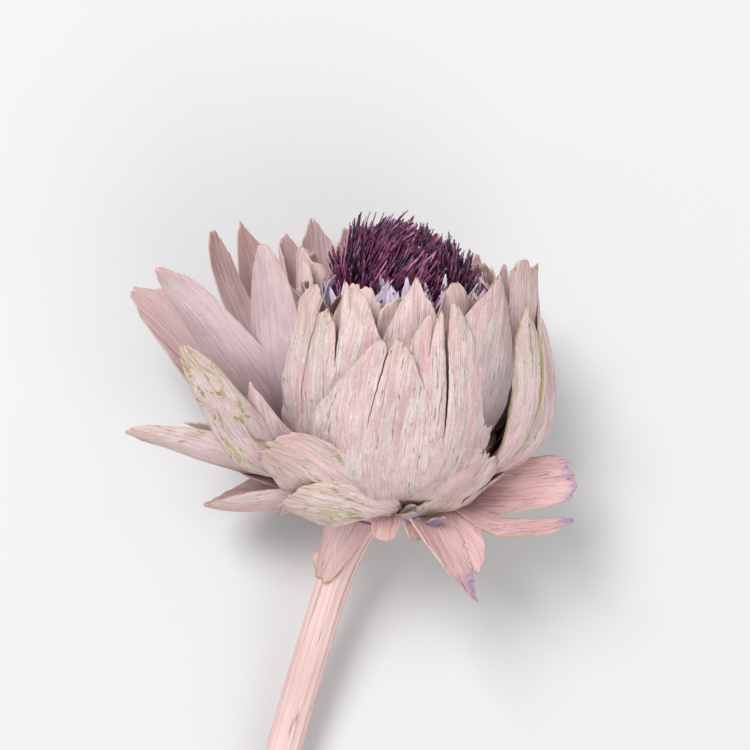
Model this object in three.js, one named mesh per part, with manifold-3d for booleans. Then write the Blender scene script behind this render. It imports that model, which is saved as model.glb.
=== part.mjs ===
// A dried artichoke flower on its cut stem, lying on its side.
//
// Millimetres, +Z up, z = 0 is the surface that the flower lies on. The flower head's axis points
// along +Y, a little upwards and to the right, and the stem curves down behind it until it lies on
// the surface. The head carries pink bracts: a closed cup of them in front and on the right, open
// and bent-back ones on the left and round the foot. Inside the cup stand thinner mauve bracts, and
// inside those a tuft of purple florets.
//
// Places on the head are given as a radius from its axis, a height along its axis from the head's
// foot, and an azimuth round its axis: 0 is right, 90 up, 180 left and 270 down to the surface.

import * as THREE from "three";
import { mergeVertices } from "three/addons/utils/BufferGeometryUtils.js";
import Module from "manifold-3d";

const wasm = await Module();
wasm.setup();

// ---- Driving dimensions ----

const HEAD_FOOT_X = 13.2; // where the head's axis starts, from the middle of the whole flower
const HEAD_FOOT_Y = 65.0;
const HEAD_FOOT_Z = 35; // height of the axis's start above the surface
const HEAD_TILT = 22; // degrees, the axis above the horizontal
const HEAD_YAW = 3.5; // degrees, the axis turned to the right

const BRACT_THICKNESS = 1.2;
const PRESSED_THICKNESS = 1.0; // of a bract where the flower's weight presses it on the surface
const NODE_GAP = 0.4; // clear space between neighbouring pieces

const RECEPTACLE_RADIUS = 35;
const RECEPTACLE_TOP = 20;
const RECEPTACLE_FOOT = -6;
const COLLAR_RADIUS = 25; // ring that the inner bracts grow from
const COLLAR_INNER_RADIUS = 18.6;
const COLLAR_TOP = 25;

const TUFT_FOOT_RADIUS = 16.8;
const TUFT_RADIUS = 20.5; // of the core that the florets stand out of
const TUFT_CORE_TOP = 85;
const TUFT_SHIFT = 1; // the tuft's middle, to the right of the head's axis
const FLORETS = 210;
const FLORET_WIDTH = 2.6;
const FLORET_SUNK = 2.5; // how far a floret starts below the core's surface
const FLORET_PROUD = 5.2; // how far its tip stands out of the core
const FLORETS_FROM = 46; // height of the lowest florets

const STEM_SIDES = 16; // ribs and grooves alternate
const STEM_GROOVE = 0.93; // a groove's radius as a share of a rib's
const STEM_RADIUS = 6; // of a rib, along the stem's free length
const STEM_NECK_RADIUS = 9; // where it meets the head
const STEM_STEPS = 15;

const rad = THREE.MathUtils.degToRad;

// ---- The head's frame ----

const headFoot = new THREE.Vector3(0, 0, HEAD_FOOT_Z);
const headAxis = new THREE.Vector3(
  Math.cos(rad(HEAD_TILT)) * Math.sin(rad(HEAD_YAW)),
  Math.cos(rad(HEAD_TILT)) * Math.cos(rad(HEAD_YAW)),
  Math.sin(rad(HEAD_TILT)),
);
const headRight = new THREE.Vector3(Math.cos(rad(HEAD_YAW)), -Math.sin(rad(HEAD_YAW)), 0);
const headUp = new THREE.Vector3().crossVectors(headRight, headAxis);

// From (right, up, height along the axis) to the part's frame.
function onHead(right, up, height) {
  return headFoot.clone()
    .addScaledVector(headRight, right)
    .addScaledVector(headUp, up)
    .addScaledVector(headAxis, height);
}

// ---- Solids ----

function signedVolume(positions, triangles) {
  const corners = [new THREE.Vector3(), new THREE.Vector3(), new THREE.Vector3()];
  let volume = 0;
  for (let t = 0; t < triangles.length; t += 3) {
    corners.forEach((corner, k) => corner.fromArray(positions, 3 * triangles[t + k]));
    volume += corners[0].dot(corners[1].cross(corners[2])) / 6;
  }
  return volume;
}

// A closed mesh as a solid, with its faces turned out if they point in.
function solidFrom(positions, triangles) {
  const triVerts = Uint32Array.from(triangles);
  if (signedVolume(positions, triangles) < 0) {
    for (let t = 0; t < triVerts.length; t += 3) {
      [triVerts[t + 1], triVerts[t + 2]] = [triVerts[t + 2], triVerts[t + 1]];
    }
  }
  return new wasm.Manifold(new wasm.Mesh({
    numProp: 3,
    vertProperties: Float32Array.from(positions),
    triVerts,
  }));
}

function solidFromGeometry(geometry) {
  const bare = geometry.clone();
  bare.deleteAttribute("normal");
  bare.deleteAttribute("uv");
  const merged = mergeVertices(bare, 1e-4);
  return solidFrom(merged.getAttribute("position").array, Array.from(merged.getIndex().array));
}

function geometryFrom(solid) {
  const mesh = solid.getMesh();
  const geometry = new THREE.BufferGeometry();
  geometry.setAttribute("position", new THREE.BufferAttribute(Float32Array.from(mesh.vertProperties), 3));
  geometry.setIndex(new THREE.BufferAttribute(Uint32Array.from(mesh.triVerts), 1));
  geometry.computeVertexNormals();
  return geometry;
}

// Joins in pairs, so that no join works on a needlessly large solid.
function joined(solids) {
  if (solids.length === 1) return solids[0];
  const half = Math.ceil(solids.length / 2);
  return joined(solids.slice(0, half)).add(joined(solids.slice(half)));
}

// The largest connected body of a solid: what booleans leave as loose scraps is dropped.
function mainBody(solid) {
  const bodies = solid.decompose();
  return bodies.reduce((best, body) => (body.volume() > best.volume() ? body : best));
}

// A body of revolution round the head's axis. The profile is a list of [radius, height].
function turned(profile, sides, shift = 0) {
  const lathe = new THREE.LatheGeometry(profile.map(([r, h]) => new THREE.Vector2(r, h)), sides);
  const place = new THREE.Matrix4().makeBasis(headRight, headAxis, headUp);
  place.setPosition(onHead(shift, 0, 0));
  return solidFromGeometry(lathe.applyMatrix4(place));
}

// A closed sheet of the given thickness round a grid of points, grid[row][column].
function sheetSolid(grid, thickness, press = false) {
  const rows = grid.length;
  const columns = grid[0].length;
  const positions = [];
  const along = new THREE.Vector3();
  const across = new THREE.Vector3();
  const normals = grid.map((row, i) => row.map((point, j) => {
    along.subVectors(grid[Math.min(i + 1, rows - 1)][j], grid[Math.max(i - 1, 0)][j]);
    across.subVectors(row[Math.min(j + 1, columns - 1)], row[Math.max(j - 1, 0)]);
    return new THREE.Vector3().crossVectors(along, across).normalize();
  }));
  for (const side of [1, -1]) {
    grid.forEach((row, i) => row.forEach((point, j) => {
      const vertex = point.clone().addScaledVector(normals[i][j], side * thickness / 2);
      const twin = point.clone().addScaledVector(normals[i][j], -side * thickness / 2);
      const floor = vertex.z < twin.z ? 0 : PRESSED_THICKNESS;
      if (press && vertex.z < floor) vertex.z = floor;
      positions.push(vertex.x, vertex.y, vertex.z);
    }));
  }
  const top = (i, j) => i * columns + j;
  const bottom = (i, j) => rows * columns + i * columns + j;
  const triangles = [];
  const quad = (a, b, c, d) => triangles.push(a, b, c, a, c, d);
  for (let i = 0; i < rows - 1; i += 1) {
    for (let j = 0; j < columns - 1; j += 1) {
      triangles.push(top(i, j), top(i + 1, j), top(i + 1, j + 1));
      triangles.push(top(i, j), top(i + 1, j + 1), top(i, j + 1));
      triangles.push(bottom(i, j), bottom(i + 1, j + 1), bottom(i + 1, j));
      triangles.push(bottom(i, j), bottom(i, j + 1), bottom(i + 1, j + 1));
    }
    quad(top(i, 0), bottom(i, 0), bottom(i + 1, 0), top(i + 1, 0));
    quad(top(i, columns - 1), top(i + 1, columns - 1), bottom(i + 1, columns - 1), bottom(i, columns - 1));
  }
  for (let j = 0; j < columns - 1; j += 1) {
    quad(top(0, j), top(0, j + 1), bottom(0, j + 1), bottom(0, j));
    quad(top(rows - 1, j), bottom(rows - 1, j), bottom(rows - 1, j + 1), top(rows - 1, j + 1));
  }
  return solidFrom(positions, triangles);
}

// ---- Bracts ----

// A bract's midrib runs from root to tip, both [radius, height], leaving and arriving at angles
// measured outwards from the head's axis. Its blade bends round the midrib by `wrap` degrees to each
// side, and `turn` rolls it round the midrib. `foot` and `point` are its widths at the root and the
// tip as shares of `width`, reached at the share `widest` of its length. `lobes` splits the tip: each
// is [from, to, reach], where from and to run over -1 to 1 across the blade.
const BRACT_DEFAULTS = {
  swing: 0,
  leave: 80,
  arrive: -10,
  pull: 0.45,
  ease: 0.3,
  wrap: 40,
  foot: 0.5,
  widest: 0.4,
  point: 0.1,
  taper: 1.35,
  turn: 0,
  notch: 0.1,
  lobes: [[-1, 1, 1]],
  rollBy: 0.45,
  rows: 5,
  columns: 4,
};

const smooth = (x) => THREE.MathUtils.smoothstep(x, 0, 1);

// The midrib as evenly spaced stations, in (right, up, height), each with its side and outward
// directions.
function midribStations(bract, count = 40) {
  const [rootRadius, rootHeight] = bract.root;
  const [tipRadius, tipHeight] = bract.tip;
  const chord = Math.hypot(tipRadius - rootRadius, tipHeight - rootHeight);
  const out = (angle, length) => new THREE.Vector2(Math.sin(rad(angle)), Math.cos(rad(angle)))
    .multiplyScalar(length * chord);
  const root = new THREE.Vector2(rootRadius, rootHeight);
  const tip = new THREE.Vector2(tipRadius, tipHeight);
  const profile = new THREE.CubicBezierCurve(
    root,
    root.clone().add(out(bract.leave, bract.pull)),
    tip.clone().sub(out(bract.arrive, bract.ease)),
    tip,
  );
  const points = [];
  for (let k = 0; k <= count; k += 1) {
    const { x: radius, y: height } = profile.getPoint(k / count);
    const azimuth = rad(bract.azimuth + bract.swing * (k / count) ** 1.5);
    points.push({
      place: new THREE.Vector3(radius * Math.cos(azimuth), radius * Math.sin(azimuth), height),
      azimuth,
    });
  }
  return points.map(({ place, azimuth }, k) => {
    const tangent = points[Math.min(k + 1, count)].place.clone()
      .sub(points[Math.max(k - 1, 0)].place).normalize();
    const side = new THREE.Vector3(-Math.sin(azimuth), Math.cos(azimuth), 0);
    side.addScaledVector(tangent, -side.dot(tangent)).normalize();
    const outward = new THREE.Vector3().crossVectors(side, tangent);
    return { place, side, outward };
  });
}

// Station at the share u of the midrib's length.
function stationAt(stations, lengths, u) {
  const goal = Math.min(u, 1) * lengths[lengths.length - 1];
  const k = Math.max(1, lengths.findIndex((length) => length >= goal));
  const t = (goal - lengths[k - 1]) / (lengths[k] - lengths[k - 1]);
  const mix = (key) => stations[k - 1][key].clone().lerp(stations[k][key], t);
  return { place: mix("place"), side: mix("side").normalize(), outward: mix("outward").normalize() };
}

function widthShare(bract, u) {
  if (u < bract.widest) {
    return bract.foot + (1 - bract.foot) * Math.sin((Math.PI / 2) * (u / bract.widest));
  }
  const t = (u - bract.widest) / (1 - bract.widest);
  return bract.point + (1 - bract.point) * (1 - t ** bract.taper);
}

// Columns across the blade, each with how much of the bract's length it reaches.
function bladeColumns(bract) {
  const columns = [];
  for (const [from, to, reach] of bract.lobes) {
    const steps = bract.lobes.length > 1 ? 2 : bract.columns;
    for (let k = columns.length ? 1 : 0; k <= steps; k += 1) {
      const across = from + ((to - from) * k) / steps;
      const offCentre = Math.abs((2 * k) / steps - 1);
      columns.push({ across, reach: reach * (1 - bract.notch * offCentre ** 2.2) });
    }
  }
  return columns;
}

function bractSolid(spec, thickness = BRACT_THICKNESS) {
  const bract = { ...BRACT_DEFAULTS, ...spec };
  const stations = midribStations(bract);
  const lengths = [0];
  for (let k = 1; k < stations.length; k += 1) {
    lengths.push(lengths[k - 1] + stations[k].place.distanceTo(stations[k - 1].place));
  }
  const columns = bladeColumns(bract);
  const grid = [];
  for (let i = 0; i <= bract.rows; i += 1) {
    grid.push(columns.map(({ across, reach }) => {
      const u = (i / bract.rows) * reach;
      const { place, side, outward } = stationAt(stations, lengths, u);
      const roll = rad(bract.turn * smooth(u / bract.rollBy));
      const width = widthShare(bract, u);
      const bend = rad(bract.wrap * (0.35 + 0.65 * width));
      const radius = ((bract.width / 2) * width) / bend;
      const sideways = radius * Math.sin(bend * across);
      const inwards = radius * (1 - Math.cos(bend * across));
      const point = place
        .addScaledVector(side, sideways * Math.cos(roll) + inwards * Math.sin(roll))
        .addScaledVector(outward, sideways * Math.sin(roll) - inwards * Math.cos(roll));
      return onHead(point.x, point.y, point.z);
    }));
  }
  return sheetSolid(grid, thickness, true);
}

// The closed cup, in front and on the right.
const CUP_BRACTS = [
  { azimuth: 100, swing: -8, root: [17, 1], tip: [45, 60], leave: 84, arrive: -8, width: 48, wrap: 45,
    foot: 0.35, widest: 0.55, point: 0.2, taper: 0.75, notch: 0.04,
    lobes: [[-1, 0.15, 1], [0.15, 1, 0.985]] },
  { azimuth: 127, swing: -6, root: [17, 8], tip: [38, 75.5], leave: 82, arrive: -18, width: 57, wrap: 42,
    foot: 0.45, widest: 0.5, point: 0.3, taper: 1.25, notch: 0.03,
    lobes: [[-1, -0.5, 0.97], [-0.5, -0.22, 0.985], [-0.22, 0.24, 0.86], [0.24, 1, 0.94]] },
  { azimuth: 70, swing: 1.5, root: [17, 4], tip: [41, 70.5], leave: 82, arrive: -12, width: 47, wrap: 50,
    foot: 0.1, widest: 0.46, point: 0.2, taper: 1,
    lobes: [[-1, -0.05, 1], [-0.05, 0.42, 0.97], [0.42, 1, 0.98]] },
  { azimuth: 83, root: [17, 10], tip: [34, 77], leave: 70, arrive: -16, width: 32, wrap: 30, widest: 0.5,
    point: 0.07, taper: 1.1 },
  { azimuth: 60, swing: -18, root: [17, 8], tip: [40, 78], arrive: -14, width: 37, wrap: 45, foot: 0.1,
    widest: 0.66, point: 0.08, taper: 0.8, turn: -12 },
  { azimuth: 21, swing: 2, root: [18, 7], tip: [42, 67], leave: 86, arrive: -13, pull: 0.55, width: 14.5,
    wrap: 25, foot: 0.1, widest: 0.72, point: 0.15, taper: 1.7, turn: -32,
    lobes: [[-1, -0.6, 0.9], [-0.6, 1, 1]] },
  { azimuth: 2, root: [18, 4], tip: [46, 60], leave: 88, arrive: -16, pull: 0.72, width: 34, wrap: 45,
    point: 0.15, taper: 1.6, turn: -10 },
  { azimuth: -10, root: [17, 10], tip: [41, 77.5], arrive: -4, width: 17, wrap: 35, foot: 0.6, widest: 0.5,
    point: 0.92, taper: 2, turn: -48, notch: 0.04, lobes: [[-1, -0.1, 0.96], [-0.1, 1, 1]] },
  { azimuth: 148, swing: 2, root: [17, 8], tip: [51, 83], leave: 66, arrive: 18, width: 27, wrap: 35,
    point: 0.28, taper: 1.2, turn: 32 },
];

// Bracts that stand open on the left and behind.
const OPEN_BRACTS = [
  { azimuth: 156, root: [17, 6], tip: [82, 75], leave: 57, arrive: 50, pull: 0.4, width: 21, wrap: 24,
    foot: 0.6, widest: 0.45, point: 0.35, turn: 55, columns: 3 },
  { azimuth: 192, root: [17, 3], tip: [92, 57], leave: 68, arrive: 60, pull: 0.38, width: 30, point: 0.28,
    taper: 1.6, turn: -45, columns: 3 },
  { azimuth: 150, root: [17, 2], tip: [76, 52], leave: 86, arrive: 42, pull: 0.48, ease: 0.4, width: 19,
    wrap: 25, foot: 0.6, widest: 0.5, point: 0.4, turn: 48, columns: 3 },
  { azimuth: 195, root: [17, 8], tip: [67, 78], leave: 58, arrive: 24, pull: 0.38, width: 17, wrap: 35,
    foot: 0.9, widest: 0.2, point: 0.4, taper: 0.8, turn: -40, columns: 3 },
  { azimuth: 214, root: [17, 8], tip: [68, 79], leave: 58, arrive: 22, pull: 0.38, width: 30, foot: 0.6,
    widest: 0.5, turn: -10, columns: 3 },
  { azimuth: 224, root: [17, 8], tip: [58, 75], leave: 56, arrive: 20, pull: 0.38, width: 24, wrap: 70,
    foot: 0.6, widest: 0.5, point: 0.35, taper: 1.6, columns: 3 },
  { azimuth: 238, root: [17, 8], tip: [61, 79], leave: 56, arrive: 16, pull: 0.38, width: 28, wrap: 50,
    foot: 0.6, widest: 0.5, point: 0.2, columns: 3 },
  { azimuth: 247, root: [17, 9], tip: [52, 77], leave: 60, arrive: 8, pull: 0.38, width: 24, wrap: 45,
    foot: 0.6, widest: 0.5, point: 0.15, columns: 3 },
  { azimuth: 174, swing: 2, root: [18, 3], tip: [87, 15.8], leave: 88, arrive: 82, width: 20, foot: 0.6,
    widest: 0.35, point: 0.25, turn: 58, columns: 3 },
];

// Short bracts round the foot, bent out and back.
const FOOT_BRACTS = [
  { azimuth: 186, root: [18, 0], tip: [54, 2.5], leave: 92, arrive: 84, width: 17, foot: 0.6, point: 0.08,
    turn: -35, columns: 3 },
  { azimuth: 182, swing: 2, root: [17, -2], tip: [62, -12], leave: 112, arrive: 86, width: 36, wrap: 60,
    foot: 0.6, widest: 0.5, point: 0.22, taper: 2.3, turn: 5, columns: 3 },
  { azimuth: 186, root: [18, 4], tip: [70, 15], leave: 88, arrive: 80, width: 17, foot: 0.8, point: 0.12,
    taper: 2.5, turn: 30, columns: 3 },
  { azimuth: 208, root: [15, -2], tip: [42, -19], leave: 105, arrive: 115, width: 26, foot: 0.6,
    point: 0.12, columns: 3 },
  { azimuth: 104, swing: 31, root: [15, -4], tip: [47, 2.5], leave: 98, arrive: 76, width: 30, wrap: 60,
    foot: 0.6, point: 0.35, taper: 1.8, turn: 38, columns: 3 },
  { azimuth: 114, swing: 22, root: [17, 0], tip: [56, 22], leave: 88, arrive: 68, width: 28, wrap: 25,
    foot: 0.6, widest: 0.6, point: 0.62, taper: 2, turn: 32, notch: 0.06, columns: 3 },
  { azimuth: 146, swing: 2, root: [17, 1], tip: [53, 40], leave: 90, arrive: 14, pull: 0.5, width: 30,
    wrap: 35, point: 0.05, taper: 1, turn: 24, columns: 3 },
  { azimuth: 12, root: [17, -2], tip: [61, 4], leave: 96, arrive: 80, width: 32, wrap: 25, foot: 0.3,
    widest: 0.8, point: 0.75, taper: 2, turn: 40, notch: 0.05, lobes: [[-1, 0.33, 1], [0.33, 1, 1]] },
  { azimuth: 49, swing: 3, root: [16, -3], tip: [48, -24], leave: 105, arrive: 125, width: 26, wrap: 30,
    foot: 0.7, widest: 0.35, taper: 1.2, lobes: [[-1, -0.42, 0.74], [-0.42, 1, 1]] },
  { azimuth: 91, swing: 2, root: [14, -3], tip: [24, -11.2], leave: 100, arrive: 150, width: 11, wrap: 60,
    foot: 0.8, point: 0.6, taper: 1.6, columns: 3 },
  { azimuth: 66, root: [14, -3], tip: [24, -11], leave: 100, arrive: 150, width: 11, wrap: 40, foot: 0.8,
    point: 0.5, taper: 1.6, columns: 3 },
];

// The side that lies on the surface: a row of cup bracts, a row inside it and a few bent-out ones.
const UNDER_BRACTS = [
  { azimuth: 220, swing: 2, root: [17, 4], tip: [60, 58], leave: 84, arrive: 22, width: 36, foot: 0.55 },
  { azimuth: 243, root: [17, 2], tip: [49, 62], leave: 88, arrive: 0, width: 44, wrap: 40, point: 0.12 },
  { azimuth: 268, root: [17, 0], tip: [49, 63], leave: 91, arrive: -13, pull: 0.57, ease: 0.36, width: 46,
    wrap: 22, point: 0.16, rows: 8 },
  { azimuth: 290, root: [17, 0], tip: [50, 62], leave: 91, arrive: -13, pull: 0.57, ease: 0.36, width: 46,
    wrap: 22, point: 0.1, rows: 8 },
  { azimuth: 317, root: [17, 3], tip: [45, 64], leave: 86, arrive: -10, width: 44, wrap: 45, point: 0.14 },
  { azimuth: 341, root: [17, 2], tip: [46, 66], leave: 86, arrive: -10, width: 40, wrap: 45, point: 0.12 },
  { azimuth: 256, root: [17, 10], tip: [43, 73], leave: 76, arrive: -6, width: 34, point: 0.1, columns: 3 },
  { azimuth: 281, root: [17, 10], tip: [38, 75], leave: 76, arrive: -12, width: 36, point: 0.1, columns: 3 },
  { azimuth: 306, root: [17, 10], tip: [42, 73], leave: 78, arrive: -8, width: 34, point: 0.1, columns: 3 },
  { azimuth: 324, root: [17, 10], tip: [42, 72], leave: 78, arrive: -8, width: 30, point: 0.12, columns: 3 },
  { azimuth: 232, root: [16, -2], tip: [53, 0], leave: 98, arrive: 88, width: 26, wrap: 20, foot: 0.6,
    point: 0.3 },
  { azimuth: 272, root: [16, -2], tip: [38, 4], leave: 98, arrive: 60, width: 26, foot: 0.6, rows: 4 },
  { azimuth: 313, root: [16, -2], tip: [55, 1], leave: 98, arrive: 84, width: 26, wrap: 20, foot: 0.6,
    point: 0.3 },
];

function bractHead(stemClearance) {
  const receptacle = turned([
    [0, RECEPTACLE_FOOT],
    [9, RECEPTACLE_FOOT],
    [16, -5],
    [22, 0.5],
    [28, 6.5],
    [33, 12],
    [RECEPTACLE_RADIUS, RECEPTACLE_TOP],
    [0, RECEPTACLE_TOP],
  ], 20);
  const blades = [CUP_BRACTS, OPEN_BRACTS, FOOT_BRACTS, UNDER_BRACTS].flat();
  const well = turned([
    [0, RECEPTACLE_TOP],
    [COLLAR_RADIUS + NODE_GAP, RECEPTACLE_TOP],
    [COLLAR_RADIUS + NODE_GAP, 100],
    [0, 100],
  ], 16);
  const whole = joined([receptacle, ...blades.map((blade) => bractSolid(blade))]);
  return mainBody(whole.subtract(well).subtract(stemClearance));
}

// ---- Inner bracts: thin mauve scales in two rings on a collar ----

const INNER_THICKNESS = 0.8;
const INNER_RINGS = [
  { count: 13, start: 4, rootRadius: 23.4, tipRadius: 32, tipHeight: 72, width: 20 },
  { count: 11, start: 16, rootRadius: 20.6, tipRadius: 29, tipHeight: 66, width: 18 },
];
const OPEN_SIDE = 200; // azimuth towards which the scales lean out most
const OPEN_LEAN = 5;

function innerBracts() {
  const collar = turned([
    [COLLAR_INNER_RADIUS, RECEPTACLE_TOP + NODE_GAP],
    [COLLAR_RADIUS, RECEPTACLE_TOP + NODE_GAP],
    [COLLAR_RADIUS, COLLAR_TOP],
    [COLLAR_INNER_RADIUS, COLLAR_TOP],
    [COLLAR_INNER_RADIUS, RECEPTACLE_TOP + NODE_GAP],
  ], 16);
  const scales = INNER_RINGS.flatMap((ring) => Array.from({ length: ring.count }, (_, k) => {
    const azimuth = ring.start + (360 * k) / ring.count;
    const lean = OPEN_LEAN * Math.max(0, Math.cos(rad(azimuth - OPEN_SIDE)));
    return bractSolid({
      azimuth,
      root: [ring.rootRadius, RECEPTACLE_TOP + 2],
      tip: [ring.tipRadius + lean, ring.tipHeight + 3 * Math.sin(3.7 * k)],
      leave: 14,
      arrive: -2 + 2 * lean,
      width: ring.width,
      wrap: 24,
      foot: 0.36,
      widest: 0.6,
      point: 0.12,
      taper: 1.6,
      turn: 14,
      rollBy: 0.15,
      rows: 3,
      columns: 2,
    }, INNER_THICKNESS);
  }));
  return mainBody(joined([collar, ...scales]));
}

// ---- Florets: three-sided strands combed to the right, standing out of a core ----

const TUFT_PROFILE = [
  [0, RECEPTACLE_TOP + NODE_GAP],
  [TUFT_FOOT_RADIUS, RECEPTACLE_TOP + NODE_GAP],
  [TUFT_FOOT_RADIUS, COLLAR_TOP + 4],
  [TUFT_RADIUS, 46],
  [TUFT_RADIUS + 1, 58],
  [TUFT_RADIUS, 70],
  [16.5, 78.5],
  [9, 83.5],
  [0, TUFT_CORE_TOP],
];

// A point of the core's surface at a share of the way from its lowest florets to its top, with
// equal steps of the share covering equal areas, and the surface's outward direction there.
function tuftSurface() {
  const rings = [];
  let area = 0;
  for (let k = 3; k < TUFT_PROFILE.length - 1; k += 1) {
    const [r0, h0] = TUFT_PROFILE[k];
    const [r1, h1] = TUFT_PROFILE[k + 1];
    const from = Math.max(0, (FLORETS_FROM - h0) / (h1 - h0));
    if (from >= 1) continue;
    const steps = 12;
    for (let s = 0; s < steps; s += 1) {
      const t = from + ((1 - from) * (s + 0.5)) / steps;
      const radius = r0 + (r1 - r0) * t;
      area += radius * Math.hypot(r1 - r0, h1 - h0) * (1 - from) / steps;
      rings.push({ area, radius, height: h0 + (h1 - h0) * t, out: h1 - h0, rise: r0 - r1 });
    }
  }
  return (share) => rings.find((ring) => ring.area >= share * area);
}

function florets() {
  const surface = tuftSurface();
  const goldenAngle = 180 * (3 - Math.sqrt(5));
  const strands = [];
  for (let k = 0; k < FLORETS; k += 1) {
    const ring = surface((k + 0.5) / FLORETS);
    const azimuth = rad(k * goldenAngle);
    const slope = Math.hypot(ring.out, ring.rise);
    const normal = onDirection(
      (Math.cos(azimuth) * ring.out) / slope,
      (Math.sin(azimuth) * ring.out) / slope,
      ring.rise / slope,
    );
    const foot = onHead(
      TUFT_SHIFT + ring.radius * Math.cos(azimuth),
      ring.radius * Math.sin(azimuth),
      ring.height,
    );
    const lean = rad(20 - 20 * (ring.radius / TUFT_RADIUS) * Math.cos(azimuth));
    const direction = onDirection(Math.sin(lean), 0, Math.cos(lean));
    const standing = direction.dot(normal);
    if (standing < 0.35) direction.addScaledVector(normal, 0.35 - standing).normalize();
    const facing = direction.dot(normal);
    const proud = FLORET_PROUD * (0.62 + 0.38 * facing) * (1 + 0.16 * Math.sin(2.9 * k));
    const start = foot.clone().addScaledVector(direction, -FLORET_SUNK / facing);
    const end = foot.clone().addScaledVector(direction, proud / facing);
    strands.push(needle(start, end, FLORET_WIDTH, k));
  }
  const core = turned(TUFT_PROFILE, 14, TUFT_SHIFT);
  return mainBody(joined([core, ...strands]));
}

function onDirection(right, up, height) {
  return onHead(right, up, height).sub(headFoot);
}

// A three-sided strand that narrows to a point.
function needle(start, end, width, turn) {
  const along = end.clone().sub(start).normalize();
  const side = new THREE.Vector3().crossVectors(along, headUp).normalize();
  const other = new THREE.Vector3().crossVectors(along, side);
  const positions = [];
  for (let c = 0; c < 3; c += 1) {
    const angle = turn + (c * 2 * Math.PI) / 3;
    const corner = start.clone()
      .addScaledVector(side, (width / 2) * Math.cos(angle))
      .addScaledVector(other, (width / 2) * Math.sin(angle));
    positions.push(corner.x, corner.y, corner.z);
  }
  positions.push(end.x, end.y, end.z);
  return solidFrom(positions, [0, 1, 2, 0, 3, 1, 1, 3, 2, 2, 3, 0]);
}

// ---- Stem ----

// Centre line from the head's foot to the cut end, in (x, y) from the head's foot and z.
const STEM_ROUTE = [
  [-9.0, -6.0, 33.0],
  [-16.4, -24.5, 26.2],
  [-25.0, -50.6, 18.8],
  [-35.9, -88.0, 11.4],
  [-48.0, -136.0, 6.9],
  [-58.5, -176.0, STEM_RADIUS * Math.cos(Math.PI / STEM_SIDES)],
  [-70.5, -222.0, STEM_RADIUS * Math.cos(Math.PI / STEM_SIDES)],
];
const NECK_LENGTH = 30; // over which the stem narrows from the head
const LEAF_FROM = 3; // the clasping leaf under the head, as lengths along the stem
const LEAF_TO = 28;
const LEAF_MIDDLE = 120; // degrees round the stem: 0 is right, 90 up
const LEAF_HALF_ANGLE = 75;
const LEAF_FLARE = 3.2; // how far its left side stands off the stem under the head

const stemCurve = new THREE.CatmullRomCurve3(
  STEM_ROUTE.map(([x, y, z]) => new THREE.Vector3(x, y, z)),
  false,
  "centripetal",
);

function stemRadius(length) {
  const t = THREE.MathUtils.clamp(1 - length / NECK_LENGTH, 0, 1);
  return STEM_RADIUS + (STEM_NECK_RADIUS - STEM_RADIUS) * t ** 1.6;
}

// Point at a length along the stem, an angle round it and a radius from its centre line.
function aroundStem(length, angle, radius) {
  const u = THREE.MathUtils.clamp(length / stemCurve.getLength(), 0, 1);
  const tangent = stemCurve.getTangentAt(u);
  const right = new THREE.Vector3(0, 0, 1).cross(tangent).normalize();
  const up = new THREE.Vector3().crossVectors(tangent, right);
  return stemCurve.getPointAt(u)
    .addScaledVector(right, radius * Math.cos(angle))
    .addScaledVector(up, radius * Math.sin(angle));
}

// The ribbed stem. `grown` makes it thicker all over, for the space that it needs in the head.
function stemSolid(grown = 0) {
  const positions = [];
  const triangles = [];
  const total = stemCurve.getLength();
  for (let i = 0; i <= STEM_STEPS; i += 1) {
    const length = total * (i / STEM_STEPS) ** 1.25;
    for (let s = 0; s < STEM_SIDES; s += 1) {
      const angle = ((s + 0.5) * 2 * Math.PI) / STEM_SIDES;
      const under = Math.abs(Math.sin(angle) + 1) < 0.1;
      const ribbed = s % 2 && !under ? STEM_GROOVE : 1;
      const point = aroundStem(length, angle, stemRadius(length) * ribbed + grown);
      positions.push(point.x, point.y, grown ? point.z : Math.max(0, point.z));
    }
  }
  for (let i = 0; i < STEM_STEPS; i += 1) {
    for (let s = 0; s < STEM_SIDES; s += 1) {
      const a = i * STEM_SIDES + s;
      const b = i * STEM_SIDES + ((s + 1) % STEM_SIDES);
      triangles.push(a, b, b + STEM_SIDES, a, b + STEM_SIDES, a + STEM_SIDES);
    }
  }
  const last = STEM_STEPS * STEM_SIDES;
  for (let s = 1; s < STEM_SIDES - 1; s += 1) {
    triangles.push(0, s + 1, s, last, last + s, last + s + 1);
  }
  return solidFrom(positions, triangles);
}

// The clasping leaf, narrowing down the stem, with its left side flared under the head.
function claspingLeaf() {
  const rows = 4;
  const columns = 5;
  const grid = [];
  for (let i = 0; i <= rows; i += 1) {
    const t = i / rows;
    const length = LEAF_FROM + (LEAF_TO - LEAF_FROM) * t;
    const halfAngle = rad(LEAF_HALF_ANGLE) * (1 - 0.52 * t * t);
    grid.push(Array.from({ length: columns + 1 }, (_, j) => {
      const angle = rad(LEAF_MIDDLE + 12 * t) + halfAngle * ((2 * j) / columns - 1);
      const proud = 0.2 + 0.6 * t + LEAF_FLARE * (1 - t) ** 2 * (j / columns);
      return aroundStem(length, angle, stemRadius(length) + proud);
    }));
  }
  return sheetSolid(grid, BRACT_THICKNESS);
}

// ---- The flower ----

function piece(name, solid, color, roughness) {
  const mesh = new THREE.Mesh(
    geometryFrom(solid),
    new THREE.MeshStandardMaterial({ color, roughness, metalness: 0 }),
  );
  mesh.name = name;
  return mesh;
}

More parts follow.
